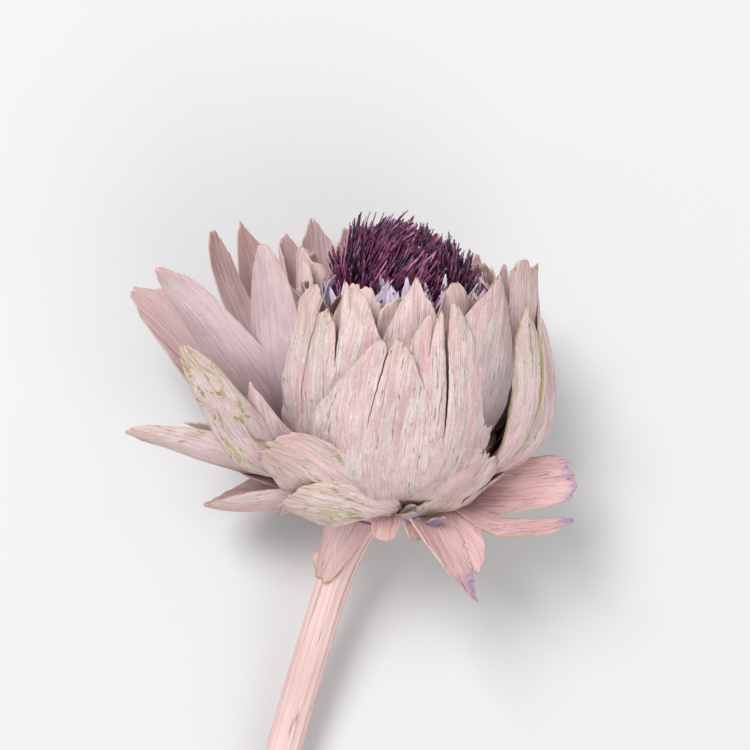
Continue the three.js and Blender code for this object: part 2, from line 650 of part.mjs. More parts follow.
const flower = new THREE.Group();
flower.position.set(HEAD_FOOT_X, HEAD_FOOT_Y, 0);
flower.add(piece("bract_head", bractHead(stemSolid(NODE_GAP).add(claspingLeaf())), 0xdcbcbd, 0.85));
flower.add(piece("inner_bracts", innerBracts(), 0x8c6468, 0.8));
flower.add(piece("floret_tuft", florets(), 0x4a2040, 0.7));
flower.add(piece("stem", mainBody(stemSolid().add(claspingLeaf())), 0xd2aeab, 0.85));

export default flower;
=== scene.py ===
"""Looks of a dried artichoke flower that lies on its side: painted bracts, mauve inner scales, a tuft of
purple florets and a ribbed stem. Shapes are worked out in millimetres, and go into Blender in metres."""
import math

import bpy
import numpy as np
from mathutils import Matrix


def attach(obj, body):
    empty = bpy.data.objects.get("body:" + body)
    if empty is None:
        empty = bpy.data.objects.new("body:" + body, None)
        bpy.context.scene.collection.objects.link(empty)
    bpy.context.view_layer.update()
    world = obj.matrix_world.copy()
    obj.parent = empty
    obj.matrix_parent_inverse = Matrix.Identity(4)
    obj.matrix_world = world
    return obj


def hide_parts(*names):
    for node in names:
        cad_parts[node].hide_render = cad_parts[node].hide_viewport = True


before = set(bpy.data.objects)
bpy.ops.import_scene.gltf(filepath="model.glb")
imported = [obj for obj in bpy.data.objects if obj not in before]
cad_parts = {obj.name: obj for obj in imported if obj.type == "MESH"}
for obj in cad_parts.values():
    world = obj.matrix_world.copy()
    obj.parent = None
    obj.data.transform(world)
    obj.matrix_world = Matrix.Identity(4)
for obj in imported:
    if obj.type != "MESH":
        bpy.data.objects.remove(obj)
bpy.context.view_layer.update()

MM = 0.001
SEED = 11

# ---- The head's frame, as in the part ----
HEAD_FOOT = np.array([13.2, 65.0, 35.0])
HEAD_TILT = math.radians(22)
HEAD_YAW = math.radians(3.5)
HEAD_AXIS = np.array([
    math.cos(HEAD_TILT) * math.sin(HEAD_YAW),
    math.cos(HEAD_TILT) * math.cos(HEAD_YAW),
    math.sin(HEAD_TILT),
])
HEAD_RIGHT = np.array([math.cos(HEAD_YAW), -math.sin(HEAD_YAW), 0])
HEAD_UP = np.cross(HEAD_RIGHT, HEAD_AXIS)


def on_head(places):
    """(right, up, height along the axis) to the part's frame."""
    places = np.asarray(places)
    right, up, height = places[..., 0:1], places[..., 1:2], places[..., 2:3]
    return HEAD_FOOT + right * HEAD_RIGHT + up * HEAD_UP + height * HEAD_AXIS


def along_head(directions):
    """A direction in the head's frame to the part's frame."""
    return on_head(directions) - HEAD_FOOT


# ---- Noise and small maths ----
def smooth(x):
    x = np.clip(x, 0, 1)
    return x * x * (3 - 2 * x)


def noise(x, y, seed):
    """Smooth noise from -1 to 1 on a unit grid, the same on every run."""
    x, y = np.broadcast_arrays(np.asarray(x, float), np.asarray(y, float))
    cell_x, cell_y = np.floor(x), np.floor(y)
    part_x, part_y = smooth(x - cell_x), smooth(y - cell_y)

    def corner(step_x, step_y):
        wave = np.sin((cell_x + step_x) * 127.1 + (cell_y + step_y) * 311.7 + seed * 74.7) * 43758.5453
        return 2 * (wave - np.floor(wave)) - 1

    low = corner(0, 0) * (1 - part_x) + corner(1, 0) * part_x
    high = corner(0, 1) * (1 - part_x) + corner(1, 1) * part_x
    return low * (1 - part_y) + high * part_y


def rough(x, y, seed, octaves=3):
    """Several scales of noise added up."""
    return sum(noise(x * 2 ** k, y * 2 ** k, seed + 5 * k) / 2 ** k for k in range(octaves))


def unit(vectors):
    return vectors / np.maximum(np.linalg.norm(vectors, axis=-1, keepdims=True), 1e-12)


def running_length(points):
    """Length along a line of points, from 0 at the first."""
    return np.r_[0, np.cumsum(np.linalg.norm(np.diff(points, axis=0), axis=1))]


def sampled(at, stations, values):
    """The rows of values, which belong to these stations, interpolated at others."""
    return np.stack([np.interp(at, stations, values[:, k]) for k in range(3)], -1)


# ---- Meshes ----
ATTRIBUTE_KINDS = {1: ("FLOAT", "value"), 3: ("FLOAT_VECTOR", "vector"), 4: ("FLOAT_COLOR", "color")}


def mesh_object(name, points, faces, material, attributes=None, smooth_faces=True):
    """An object from points in millimetres, with the named point attributes."""
    mesh = bpy.data.meshes.new(name)
    mesh.from_pydata((np.asarray(points) * MM).tolist(), [], [list(map(int, f)) for f in faces])
    for key, values in (attributes or {}).items():
        values = np.asarray(values, float)
        kind, field = ATTRIBUTE_KINDS[values.shape[1] if values.ndim > 1 else 1]
        mesh.attributes.new(key, kind, "POINT").data.foreach_set(field, values.ravel())
    if smooth_faces:
        mesh.polygons.foreach_set("use_smooth", [True] * len(mesh.polygons))
    mesh.materials.append(material)
    mesh.update()
    thing = bpy.data.objects.new(name, mesh)
    bpy.context.scene.collection.objects.link(thing)
    return thing


def stands_for(thing, node):
    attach(thing, "root")
    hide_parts(node)


def grid_faces(rows, columns, start=0, closed=False):
    """Quads of a grid of rows + 1 by columns + 1 points, or by columns points where it closes on itself."""
    across = columns if closed else columns + 1
    i, j = np.meshgrid(np.arange(rows), np.arange(columns), indexing="ij")
    next_j = (j + 1) % across
    return (start + np.stack([i * across + j, i * across + next_j, (i + 1) * across + next_j,
                              (i + 1) * across + j], -1)).reshape(-1, 4)


class Sheet:
    """A thin closed sheet built up from strips of a middle surface."""

    def __init__(self):
        self.points, self.outwards, self.thickness, self.faces, self.data = [], [], [], [], []
        self.count = 0

    def add_strip(self, points, outwards, thickness, data):
        rows, columns = points.shape[0] - 1, points.shape[1] - 1
        self.faces.append(grid_faces(rows, columns, self.count))
        self.count += points.shape[0] * points.shape[1]
        for store, values in ((self.points, points), (self.outwards, outwards), (self.data, data)):
            store.append(values.reshape(-1, values.shape[-1]))
        self.thickness.append(np.broadcast_to(thickness, points.shape[:2]).reshape(-1))

    def solid(self, welds=()):
        """Points, faces, data and side (1 outside, 0 inside) of the closed sheet."""
        points, outwards = np.concatenate(self.points), np.concatenate(self.outwards)
        thickness, data = np.concatenate(self.thickness), np.concatenate(self.data)
        faces = np.concatenate(self.faces)
        renamed = np.arange(len(points))
        for keep, drop in welds:
            renamed[drop] = keep
        faces = renamed[faces]
        used = np.unique(faces)
        packed = np.full(len(points), -1)
        packed[used] = np.arange(len(used))
        faces = packed[faces]
        points, outwards, thickness, data = points[used], outwards[used], thickness[used], data[used]
        corners = points[faces]
        flat = np.cross(corners[:, 2] - corners[:, 0], corners[:, 3] - corners[:, 1])
        if (flat * outwards[faces[:, 0]]).sum() < 0:
            faces, flat = faces[:, ::-1], -flat
        normals = np.zeros_like(points)
        for k in range(4):
            np.add.at(normals, faces[:, k], flat)
        normals = unit(normals)
        count = len(points)
        outer = points + normals * thickness[:, None] / 2
        inner = points - normals * thickness[:, None] / 2
        edges = np.concatenate([faces[:, [k, (k + 1) % 4]] for k in range(4)])
        keys = {}
        for a, b in edges.tolist():
            keys[(a, b)] = True
        rim = np.array([(a, b) for a, b in keys if (b, a) not in keys])
        walls = np.stack([rim[:, 1], rim[:, 0], rim[:, 0] + count, rim[:, 1] + count], -1)
        all_faces = np.concatenate([faces, faces[:, ::-1] + count, walls])
        side = np.r_[np.ones(count), np.zeros(count)]
        return np.concatenate([outer, inner]), all_faces, np.concatenate([data, data]), side


# ---- Bracts ----
BRACT = dict(
    swing=0, leave=80, arrive=-10, pull=0.45, ease=0.3, wrap=40, foot=0.5, widest=0.4, point=0.1, taper=1.35,
    turn=0, roll_by=0.45, skew=0.0, notch=0.1, blunt=2.2, cracks=[], reaches=[1], lift=0.0, crown=0.6,
    zigzag=0.15, crumple=0.12, jag=0.02, margin=0.03, wave=0.7, ridge=0.16, rolled=0.0, hook=0.0,
    tuck=0.0, thickness=1.3, rows=70, columns=44, cream=0.2, bare=0.0, stain=0.0, silk=0.0, tip_tint=0.5,
    edge_tint=0.4, blush=0.0, shade=0.0,
)


def midrib(bract, count=80):
    """Even stations of the midrib in (right, up, height), with their side and outward directions."""
    root, tip = np.array(bract["root"], float), np.array(bract["tip"], float)
    chord = np.linalg.norm(tip - root)
    leave, arrive = math.radians(bract["leave"]), math.radians(bract["arrive"])
    from_root = root + bract["pull"] * chord * np.array([math.sin(leave), math.cos(leave)])
    to_tip = tip - bract["ease"] * chord * np.array([math.sin(arrive), math.cos(arrive)])
    t = np.linspace(0, 1, count + 1)[:, None]
    profile = (1 - t) ** 3 * root + 3 * (1 - t) ** 2 * t * from_root
    profile = profile + 3 * (1 - t) * t * t * to_tip + t ** 3 * tip
    azimuth = np.radians(bract["azimuth"] + bract["swing"] * t[:, 0] ** 1.5)
    place = np.stack([profile[:, 0] * np.cos(azimuth), profile[:, 0] * np.sin(azimuth), profile[:, 1]], -1)
    length = running_length(place)
    even = np.linspace(0, 1, count + 1)
    place = sampled(even, length / length[-1], place)
    azimuth = np.interp(even, length / length[-1], azimuth)
    tangent = unit(np.gradient(place, axis=0))
    side = np.stack([-np.sin(azimuth), np.cos(azimuth), np.zeros(count + 1)], -1)
    side = unit(side - (side * tangent).sum(1, keepdims=True) * tangent)
    return even, place, side, np.cross(side, tangent), length[-1]


def width_share(bract, u):
    """Width along a bract as a share of its widest place."""
    def narrowing(t):
        return (t * t + 0.02) ** (bract["taper"] / 2)

    low = bract["foot"] + (1 - bract["foot"]) * np.sin(np.pi / 2 * np.clip(u / bract["widest"], 0, 1))
    t = np.clip((u - bract["widest"]) / (1 - bract["widest"]), 0, 1)
    narrowed = (narrowing(t) - narrowing(0)) / (narrowing(1) - narrowing(0))
    high = bract["point"] + (1 - bract["point"]) * (1 - narrowed)
    return np.where(u < bract["widest"], low, high)


def blade_surface(bract, u, v, seed, bulge=0.0):
    """Points and outward directions of a bract's middle surface, u along it and v across it."""
    even, place, side, outward, length = midrib(bract)
    u = np.clip(u, 0, 1)
    place, side, outward = (sampled(u, even, values) for values in (place, side, outward))
    roll = np.radians(bract["turn"] * smooth(u / bract["roll_by"]))[..., None]
    turned_side = side * np.cos(roll) + outward * np.sin(roll)
    outward = outward * np.cos(roll) - side * np.sin(roll)
    side = turned_side
    share = width_share(bract, u)
    ragged = 1 + bract["margin"] * rough(u * length / 7, np.sign(v) * 3.3, seed) * smooth(u * 5)
    half = bract["width"] / 2 * share * ragged
    bend = np.radians(bract["wrap"]) * (0.35 + 0.65 * share)
    sideways = half / bend * np.sin(bend * v)
    inwards = half / bend * (1 - np.cos(bend * v))
    across, along = v * bract["width"] / 2 * share, u * length
    grown = smooth(u * 6)
    raised = bract["ridge"] * grown * rough(across / 1.9, along / 22, seed + 1, 3)
    raised = raised + bract["wave"] * grown * rough(across / 17, along / 24, seed + 2, 2)
    raised = raised + bract["crumple"] * grown * rough(across / 4.5, along / 6, seed + 4, 2)
    raised = raised + bract["rolled"] * np.clip((np.abs(v) - 0.6) / 0.4, 0, 1) ** 2 * smooth(u * 3)
    raised = raised + bract["hook"] * np.clip((u - 0.8) / 0.2, 0, 1) ** 2
    raised = raised + bulge
    tucked = np.clip((0.3 - v * np.sign(bract["tuck"])) / 1.3, 0, 1) ** 1.2
    raised = raised - abs(bract["tuck"]) * tucked * smooth(u * 3) * (1 - 0.6 * smooth((u - 0.75) / 0.25))
    points = place + side * sideways[..., None] + outward * (raised - inwards)[..., None]
    return on_head(points), along_head(outward), along, across, length


def bract_strips(bract, seed):
    """The lobes of a bract's middle surface, with their outward directions, thickness and data."""
    rows, reaches = bract["rows"], bract["reaches"]
    steps = np.linspace(0, 1, rows + 1)[:, None]
    cracks = [(-1, None, 0), *bract["cracks"], (1, None, 0)]
    for index, reach in enumerate(reaches):
        (low, low_start, low_gap), (high, high_start, high_gap) = cracks[index], cracks[index + 1]
        low_row = None if low_start is None else round(low_start * rows)
        low_start, high_start = low_start or high_start or 0, high_start or low_start or 0
        columns = max(4, round(bract["columns"] * (high - low) / 2))
        v = np.linspace(low, high, columns + 1)[None]
        off_centre = (2 * v - low - high) / (high - low)
        start = (low_start * (1 - off_centre) + high_start * (1 + off_centre)) / 2
        opened = np.clip((steps - start) / (1 - start), 0, 1)
        reach_across = reach * (1 - bract["notch"] * np.abs(off_centre) ** bract["blunt"])
        reach_across = reach_across - bract["skew"] * (1 - v) / 2
        reach_across = reach_across + bract["jag"] * rough(v * 4.0 + 9 * index, 0.5, seed + 3, 3)
        u = np.minimum(np.where(steps <= start, steps, start + opened * (reach_across - start)), 1.0)
        half = np.maximum(bract["width"] / 2 * width_share(bract, u), 1.0)
        pulled = v + opened ** 0.7 / half * (low_gap * (1 - off_centre) - high_gap * (1 + off_centre)) / 4
        if len(reaches) > 1:
            pulled = pulled + bract["zigzag"] / half * (1 - v * v) * rough(u * 55, 0.5, seed + 8, 2)
        raised = bract["lift"] * (-1) ** index * opened ** 1.3
        if len(reaches) > 1:
            raised = raised + bract["crown"] * opened ** 0.6 * (1 - off_centre ** 2)
        points, outwards, along, across, length = blade_surface(bract, u, pulled, seed, raised)
        to_side = half * (high - low) / 2 * (1 - np.abs(off_centre))
        is_margin = np.where(off_centre < 0, index == 0, index == len(reaches) - 1) | (opened > 0)
        tip_distance = (reach_across - u) * length
        distance = np.minimum(np.where(is_margin, to_side, 99), tip_distance)
        edge = np.exp(-np.maximum(distance, 0) / 1.1)
        tip = np.exp(-np.maximum(tip_distance, 0) / 7.0)
        thickness = bract["thickness"] * (1 - 0.35 * u) * (1 - 0.5 * edge)
        floor = thickness / 2 + 0.02
        points[..., 2] = floor + np.logaddexp(0, (points[..., 2] - floor) / 0.5) * 0.5
        data = np.stack([across, along, np.full_like(u, 7.3 * seed % 91), edge, tip, u], -1)
        yield points, outwards, thickness, data, low_row


def bract_sheet(spec, seed):
    """A bract as a closed sheet whose lobes are joined below the split."""
    bract = {**BRACT, **spec}
    sheet = Sheet()
    welds = []
    last_edge = None
    for points, outwards, thickness, data, joined in bract_strips(bract, seed):
        start, across = sheet.count, points.shape[1]
        sheet.add_strip(points, outwards, thickness, data)
        if last_edge is not None:
            joined_rows = np.arange(joined + 1)
            welds += zip(last_edge[joined_rows], start + joined_rows * across)
        last_edge = start + np.arange(bract["rows"] + 1) * across + across - 1
    points, faces, data, side = sheet.solid(welds)
    points[:, 2] = np.maximum(points[:, 2], 0)
    return bract, points, faces, data, side


def bract_attributes(bract, data, side):
    """What the materials read: place on the blade, masks, and the bract's shares of each finish and painted
    shade.
    """
    def shares(*keys):
        return np.tile([float(bract[key]) for key in keys], (len(data), 1))

    return {
        "blade": data[:, :3],
        "mask": np.stack([data[:, 3], data[:, 4], side, data[:, 5]], -1),
        "wear": shares("cream", "bare", "stain", "silk"),
        "tint_and_shade": shares("tip_tint", "edge_tint", "blush", "shade"),
    }


# The closed cup, in front and on the right.
CUP_BRACTS = [
    dict(name="front", azimuth=100, swing=-8, root=(17, 1), tip=(45, 60), leave=84, arrive=-8, width=48,
         wrap=45, foot=0.35, widest=0.55, point=0.2, taper=0.75, notch=0.04, cracks=[(0.15, 0.6, 0.5)],
         reaches=[1, 0.985], lift=0.4, rows=100, columns=100, cream=0.15, ridge=0.13, crumple=0.3,
         rolled=0.9),
    dict(name="front_left", azimuth=127, swing=-6, root=(17, 8), tip=(38, 75.5), leave=82, arrive=-18,
         width=57, wrap=42, foot=0.45, widest=0.5, point=0.3, taper=1.25, rows=100, columns=110, notch=0.03,
         crown=1.1, cracks=[(-0.5, 0.88, 0.15), (-0.22, 0.66, 1.2), (0.24, 0.42, 1.0)],
         reaches=[0.97, 0.985, 0.86, 0.94], lift=0.5, cream=0.5, bare=0.1, ridge=0.24, crumple=0.3),
    dict(name="front_right", azimuth=70, swing=1.5, root=(17, 4), tip=(41, 70.5), leave=82, arrive=-12,
         width=47, wrap=50, foot=0.1, widest=0.46, point=0.2, taper=1.0, rows=100, columns=96, crown=0.9,
         jag=0.04, cracks=[(-0.05, 0.42, 1.3), (0.42, 0.8, 0.6)], reaches=[1, 0.97, 0.98], cream=0.45,
         ridge=0.2, crumple=0.3, rolled=0.7),
    dict(name="behind_front", azimuth=83, root=(17, 10), tip=(34, 77), leave=70, arrive=-16, width=32,
         wrap=30, widest=0.5, point=0.07, taper=1.1, columns=60, cream=0.3, crumple=0.25, rolled=0.8),
    dict(name="right_tall", azimuth=60, swing=-18, root=(17, 8), tip=(40, 78), arrive=-14, width=37,
         wrap=45, foot=0.1, widest=0.66, point=0.08, taper=0.8, turn=-12, rows=90, columns=70, cream=0.3,
         ridge=0.22, crumple=0.3, tuck=4.5, shade=0.8),
    dict(name="right_olive", azimuth=21, swing=2, root=(18, 7), tip=(42, 67), leave=86, arrive=-13,
         pull=0.55, width=14.5, wrap=25, foot=0.1, widest=0.72, point=0.15, taper=1.7, turn=-32,
         edge_tint=2.2, margin=0.07, cracks=[(-0.6, 0.3, 0.4)], reaches=[0.9, 1], cream=0.85),
    dict(name="right_edge", azimuth=2, root=(18, 4), tip=(46, 60), leave=88, arrive=-16, pull=0.72,
         width=34, wrap=45, point=0.15, taper=1.6, turn=-10, tip_tint=0.8, edge_tint=1.3, tuck=-3.5),
    dict(name="right_notched", azimuth=-10, root=(17, 10), tip=(41, 77.5), arrive=-4, width=17, wrap=35,
         foot=0.6, widest=0.5, point=0.92, taper=2, turn=-48, notch=0.04, cracks=[(-0.1, 0.96, 0.4)],
         reaches=[0.96, 1]),
    dict(name="left_tall", azimuth=148, swing=2, root=(17, 8), tip=(51, 83), leave=66, arrive=18, width=27,
         wrap=35, point=0.28, taper=1.2, turn=32, cream=0.1, shade=0.5, silk=1.0, ridge=0.04, crumple=0.05,
         margin=0.01, jag=0.008),
]

# Bracts that stand open on the left and behind.
OPEN_BRACTS = [
    dict(name="left_long", azimuth=156, root=(17, 6), tip=(82, 75), leave=57, arrive=50, pull=0.4, width=21,
         wrap=24, foot=0.6, widest=0.45, point=0.35, turn=55, cream=0.1, shade=0.3, silk=1.0, rolled=-0.6,
         ridge=0.04, crumple=0.05, margin=0.01, jag=0.008),
    dict(name="left_wide", azimuth=192, root=(17, 3), tip=(92, 57), leave=68, arrive=60, pull=0.38,
         width=30, point=0.28, taper=1.6, turn=-45, silk=1.0, ridge=0.05, margin=0.015),
    dict(name="left_low", azimuth=150, root=(17, 2), tip=(76, 52), leave=86, arrive=42, pull=0.48, ease=0.4,
         width=19, wrap=25, foot=0.6, widest=0.5, point=0.4, turn=48, rows=80, bare=1.15, cream=0.4,
         crumple=0.3, rolled=0.8),
    dict(name="left_thin", azimuth=195, root=(17, 8), tip=(67, 78), leave=58, arrive=24, pull=0.38,
         width=17, wrap=35, foot=0.9, widest=0.2, point=0.4, taper=0.8, turn=-40, hook=-4.0, tip_tint=0.9,
         silk=1.0, ridge=0.05, margin=0.015),
    dict(name="back_1", azimuth=214, root=(17, 8), tip=(68, 79), leave=58, arrive=22, pull=0.38, width=30,
         foot=0.6, widest=0.5, turn=-10, tip_tint=1.0, silk=1.0, ridge=0.05),
    dict(name="back_2", azimuth=224, root=(17, 8), tip=(58, 75), leave=56, arrive=20, pull=0.38, width=24,
         wrap=70, foot=0.6, widest=0.5, point=0.35, taper=1.6, rolled=-2.5, silk=1.0, ridge=0.05),
    dict(name="back_3", azimuth=238, root=(17, 8), tip=(61, 79), leave=56, arrive=16, pull=0.38, width=28,
         wrap=50, foot=0.6, widest=0.5, point=0.2, silk=0.6, ridge=0.05),
    dict(name="back_4", azimuth=247, root=(17, 9), tip=(52, 77), leave=60, arrive=8, pull=0.38, width=24,
         wrap=45, foot=0.6, widest=0.5, point=0.15, silk=0.6, ridge=0.05),
    dict(name="left_flat", azimuth=174, swing=2, root=(18, 3), tip=(87, 15.8), leave=88, arrive=82,
         width=20, foot=0.6, widest=0.35, point=0.25, turn=58, bare=0.5, tip_tint=0.7, blush=0.2, silk=0.4,
         cream=0.7),
]

# Short bracts round the foot, bent out and back.
FOOT_BRACTS = [
    dict(name="left_curled", azimuth=186, root=(18, 0), tip=(54, 2.5), leave=92, arrive=84, width=17,
         foot=0.6, point=0.08, turn=-35, rows=40, columns=22),
    dict(name="left_spoon", azimuth=182, swing=2, root=(17, -2), tip=(62, -12), leave=112, arrive=86,
         width=36, wrap=60, foot=0.6, widest=0.5, point=0.22, taper=2.3, turn=5, rows=48, tip_tint=1.0),
    dict(name="left_sliver", azimuth=186, root=(18, 4), tip=(70, 15), leave=88, arrive=80, width=17,
         foot=0.8, point=0.12, taper=2.5, turn=30, rows=40, columns=20),
    dict(name="left_small", azimuth=208, root=(15, -2), tip=(42, -19), leave=105, arrive=115, width=26,
         foot=0.6, point=0.12, rows=36, columns=24),
    dict(name="front_spoon", azimuth=104, swing=31, root=(15, -4), tip=(47, 2.5), leave=98, arrive=76,
         width=30, wrap=60, foot=0.6, point=0.35, taper=1.8, turn=38, columns=60, cream=0.7, bare=0.75,
         crumple=0.3),
    dict(name="front_folded", azimuth=114, swing=22, root=(17, 0), tip=(56, 22), leave=88, arrive=68,
         width=28, wrap=25, foot=0.6, widest=0.6, point=0.62, taper=2, notch=0.06, skew=0.05, turn=32,
         columns=60, bare=0.85, cream=0.4, jag=0.04, blush=0.7, crumple=0.35, rolled=0.6),
    dict(name="left_short", azimuth=146, swing=2, root=(17, 1), tip=(53, 40), leave=90, arrive=14, pull=0.5,
         width=30, wrap=35, point=0.05, taper=1, turn=24, rows=48, cream=0.4, crumple=0.3),
    dict(name="right_torn", azimuth=12, root=(17, -2), tip=(61, 4), leave=96, arrive=80, width=32, wrap=25,
         foot=0.3, widest=0.8, point=0.75, taper=2, notch=0.05, turn=40, columns=60, stain=1.05, jag=0.08,
         cracks=[(0.33, 0.42, 7.5)], reaches=[1, 1], lift=0.8, zigzag=0.3, edge_tint=0.8, blush=1.0),
    dict(name="right_bent", azimuth=49, swing=3, root=(16, -3), tip=(48, -24), leave=105, arrive=125,
         width=26, wrap=30, foot=0.7, widest=0.35, taper=1.2, columns=60, stain=1.15, jag=0.03, blush=1.0,
         cracks=[(-0.42, 0.3, 0.7)], reaches=[0.74, 1], lift=0.3, crown=0.2, zigzag=0.8),
    dict(name="stem_curl", azimuth=91, swing=2, root=(14, -3), tip=(24, -11.2), leave=100, arrive=150,
         width=11, wrap=60, foot=0.8, point=0.6, taper=1.6, rows=24, columns=20, blush=0.5, cream=0),
    dict(name="right_scrap", azimuth=66, root=(14, -3), tip=(24, -11), leave=100, arrive=150, width=11,
         foot=0.8, point=0.5, taper=1.6, rows=24, columns=20, blush=0.8, cream=0),
]

# The side that lies on the surface.
UNDER_BRACTS = [
    dict(azimuth=220, swing=2, root=(17, 4), tip=(60, 58), leave=84, arrive=22, width=36, foot=0.55),
    dict(azimuth=243, root=(17, 2), tip=(49, 62), leave=88, arrive=0, width=44, point=0.12),
    dict(azimuth=268, root=(17, 0), tip=(49, 63), leave=91, arrive=-13, pull=0.57, ease=0.36, width=46,
         wrap=22, point=0.16),
    dict(azimuth=290, root=(17, 0), tip=(50, 62), leave=91, arrive=-13, pull=0.57, ease=0.36, width=46,
         wrap=22),
    dict(azimuth=317, root=(17, 3), tip=(45, 64), leave=86, width=44, wrap=45, point=0.14),
    dict(azimuth=341, root=(17, 2), tip=(46, 66), leave=86, width=40, wrap=45, point=0.12),
    dict(azimuth=256, root=(17, 10), tip=(43, 73), leave=76, arrive=-6, width=34),
    dict(azimuth=281, root=(17, 10), tip=(38, 75), leave=76, arrive=-12, width=36),
    dict(azimuth=306, root=(17, 10), tip=(42, 73), leave=78, arrive=-8, width=34),
    dict(azimuth=324, root=(17, 10), tip=(42, 72), leave=78, arrive=-8, width=30, point=0.12),
    dict(azimuth=232, root=(16, -2), tip=(53, 0), leave=98, arrive=88, width=26, wrap=20, foot=0.6,
         point=0.3),
    dict(azimuth=272, root=(16, -2), tip=(38, 4), leave=98, arrive=60, width=26, foot=0.6),
    dict(azimuth=313, root=(16, -2), tip=(55, 1), leave=98, arrive=84, width=26, wrap=20, foot=0.6,
         point=0.3),
]


# Torn stubs of lost bracts round the foot.
STUB_BRACTS = [
    dict(azimuth=96, root=(15, -4), tip=(26, 2.2), width=15, turn=8),
    dict(azimuth=74, root=(15, -4), tip=(27, 2.6), width=17, turn=-8),
    dict(azimuth=52, root=(15, -4), tip=(30, 5.2), width=19, turn=6),
    dict(azimuth=31, root=(15, -4), tip=(34, 7.0), width=19, turn=-6),
    dict(azimuth=12, root=(15, -4), tip=(37, 9.0), width=18, turn=5),
    dict(azimuth=64, root=(13, -6), tip=(30, -1.5), width=16, turn=-14, stain=2.0, cream=0),
    dict(azimuth=65, swing=-18, root=(17, 0), tip=(39, 24), width=25, turn=-8, leave=84, arrive=8, wrap=35,
         foot=0.6, widest=0.45, point=0.5, jag=0.1, crumple=0.35, cream=0.5, rows=50, columns=50),
    dict(azimuth=52, swing=-18, root=(16, -1), tip=(39, 19), width=25, turn=-8, leave=84, arrive=10,
         wrap=35, foot=0.6, widest=0.45, point=0.5, jag=0.1, crumple=0.3, cream=0.2, edge_tint=0.3, rows=50,
         columns=50),
]
STUB = dict(
    leave=100, arrive=52, wrap=24, foot=0.8, widest=0.5, point=0.75, taper=2, notch=0.1, jag=0.5,
    crumple=0.5, margin=0.1, rows=30, columns=36, thickness=0.8, cream=0.8, edge_tint=2.4, tip_tint=0,
    blush=0.4,
)


def make_bracts(material):
    for k, spec in enumerate(STUB_BRACTS):
        spec.update({**STUB, **spec}, name=f"stub_{k + 1}")
    for k, spec in enumerate(UNDER_BRACTS):
        spec.update(name=f"under_{k + 1}", rows=40, columns=24, bare=0.3, cream=0.3)
    for k, spec in enumerate(CUP_BRACTS + OPEN_BRACTS + FOOT_BRACTS + UNDER_BRACTS + STUB_BRACTS):
        bract, points, faces, data, side = bract_sheet(spec, k + 1)
        thing = mesh_object("bract_" + spec["name"], points, faces, material,
                            bract_attributes(bract, data, side))
        stands_for(thing, "bract_head")


# ---- Revolved bodies ----
def along_profile(profile, count):
    """Radius and height at this many places along a profile, even between its knots."""
    knots = np.array(profile, float)
    numbers = np.arange(len(knots))
    at = np.linspace(0, len(knots) - 1, count)
    return np.interp(at, numbers, knots[:, 0]), np.interp(at, numbers, knots[:, 1])


def turned(name, profile, sides, material, shift=0.0, bumps=None, fine=6):
    """A body round the head's axis from a profile of (radius, height), first and last on the axis."""
    radius, height = along_profile(profile, fine * (len(profile) - 1) + 1)
    angle = np.linspace(0, 2 * np.pi, sides, endpoint=False)
    radii = radius[1:-1, None] * np.ones(sides)
    if bumps:
        radii = radii + bumps(angle[None], height[1:-1, None])
    ring = np.stack([shift + radii * np.cos(angle), radii * np.sin(angle),
                     height[1:-1, None] * np.ones(sides)], -1).reshape(-1, 3)
    ends = np.array([[shift, 0, height[0]], [shift, 0, height[-1]]])
    points = on_head(np.concatenate([ring, ends]))
    rows = len(radius) - 3
    faces = grid_faces(rows, sides, 0, True).tolist()
    first, last = len(ring), len(ring) + 1
    for j in range(sides):
        k = (j + 1) % sides
        faces.append([first, k, j])
        faces.append([last, rows * sides + j, rows * sides + k])
    return mesh_object(name, points, faces, material, {"blade": np.concatenate([ring, ends])})


RECEPTACLE_PROFILE = [(0, -6), (9, -6), (16, -5), (22, 0.5), (28, 6.5), (33, 12), (34.5, 19.6), (0, 19.6)]


def make_receptacle(material):
    def bumps(angle, height):
        return 0.6 * rough(angle * 5, height / 5, 9) - 0.5

    receptacle = turned("receptacle", RECEPTACLE_PROFILE, 96, material, bumps=bumps)
    stands_for(receptacle, "bract_head")


# ---- Inner scales ----
RECEPTACLE_TOP = 20
OPEN_SIDE = 200  # azimuth towards which the scales lean out
OPEN_LEAN = 6
SCALE_RINGS = [
    dict(count=13, start=4, root=23.4, radius=32, height=72, width=20),
    dict(count=15, start=18, root=22.5, radius=30, height=70, width=15),
    dict(count=13, start=16, root=20.6, radius=28, height=67, width=16),
    dict(count=17, start=7, root=20.0, radius=26, height=63, width=11),
]


def gathered(name, parts, material):
    """One object from several sheets."""
    points, faces, attributes, count = [], [], [], 0
    for bract, some, quads, data, side in parts:
        points.append(some)
        faces.append(quads + count)
        attributes.append(bract_attributes(bract, data, side))
        count += len(some)
    joined = {key: np.concatenate([some[key] for some in attributes]) for key in attributes[0]}
    return mesh_object(name, np.concatenate(points), np.concatenate(faces), material, joined)


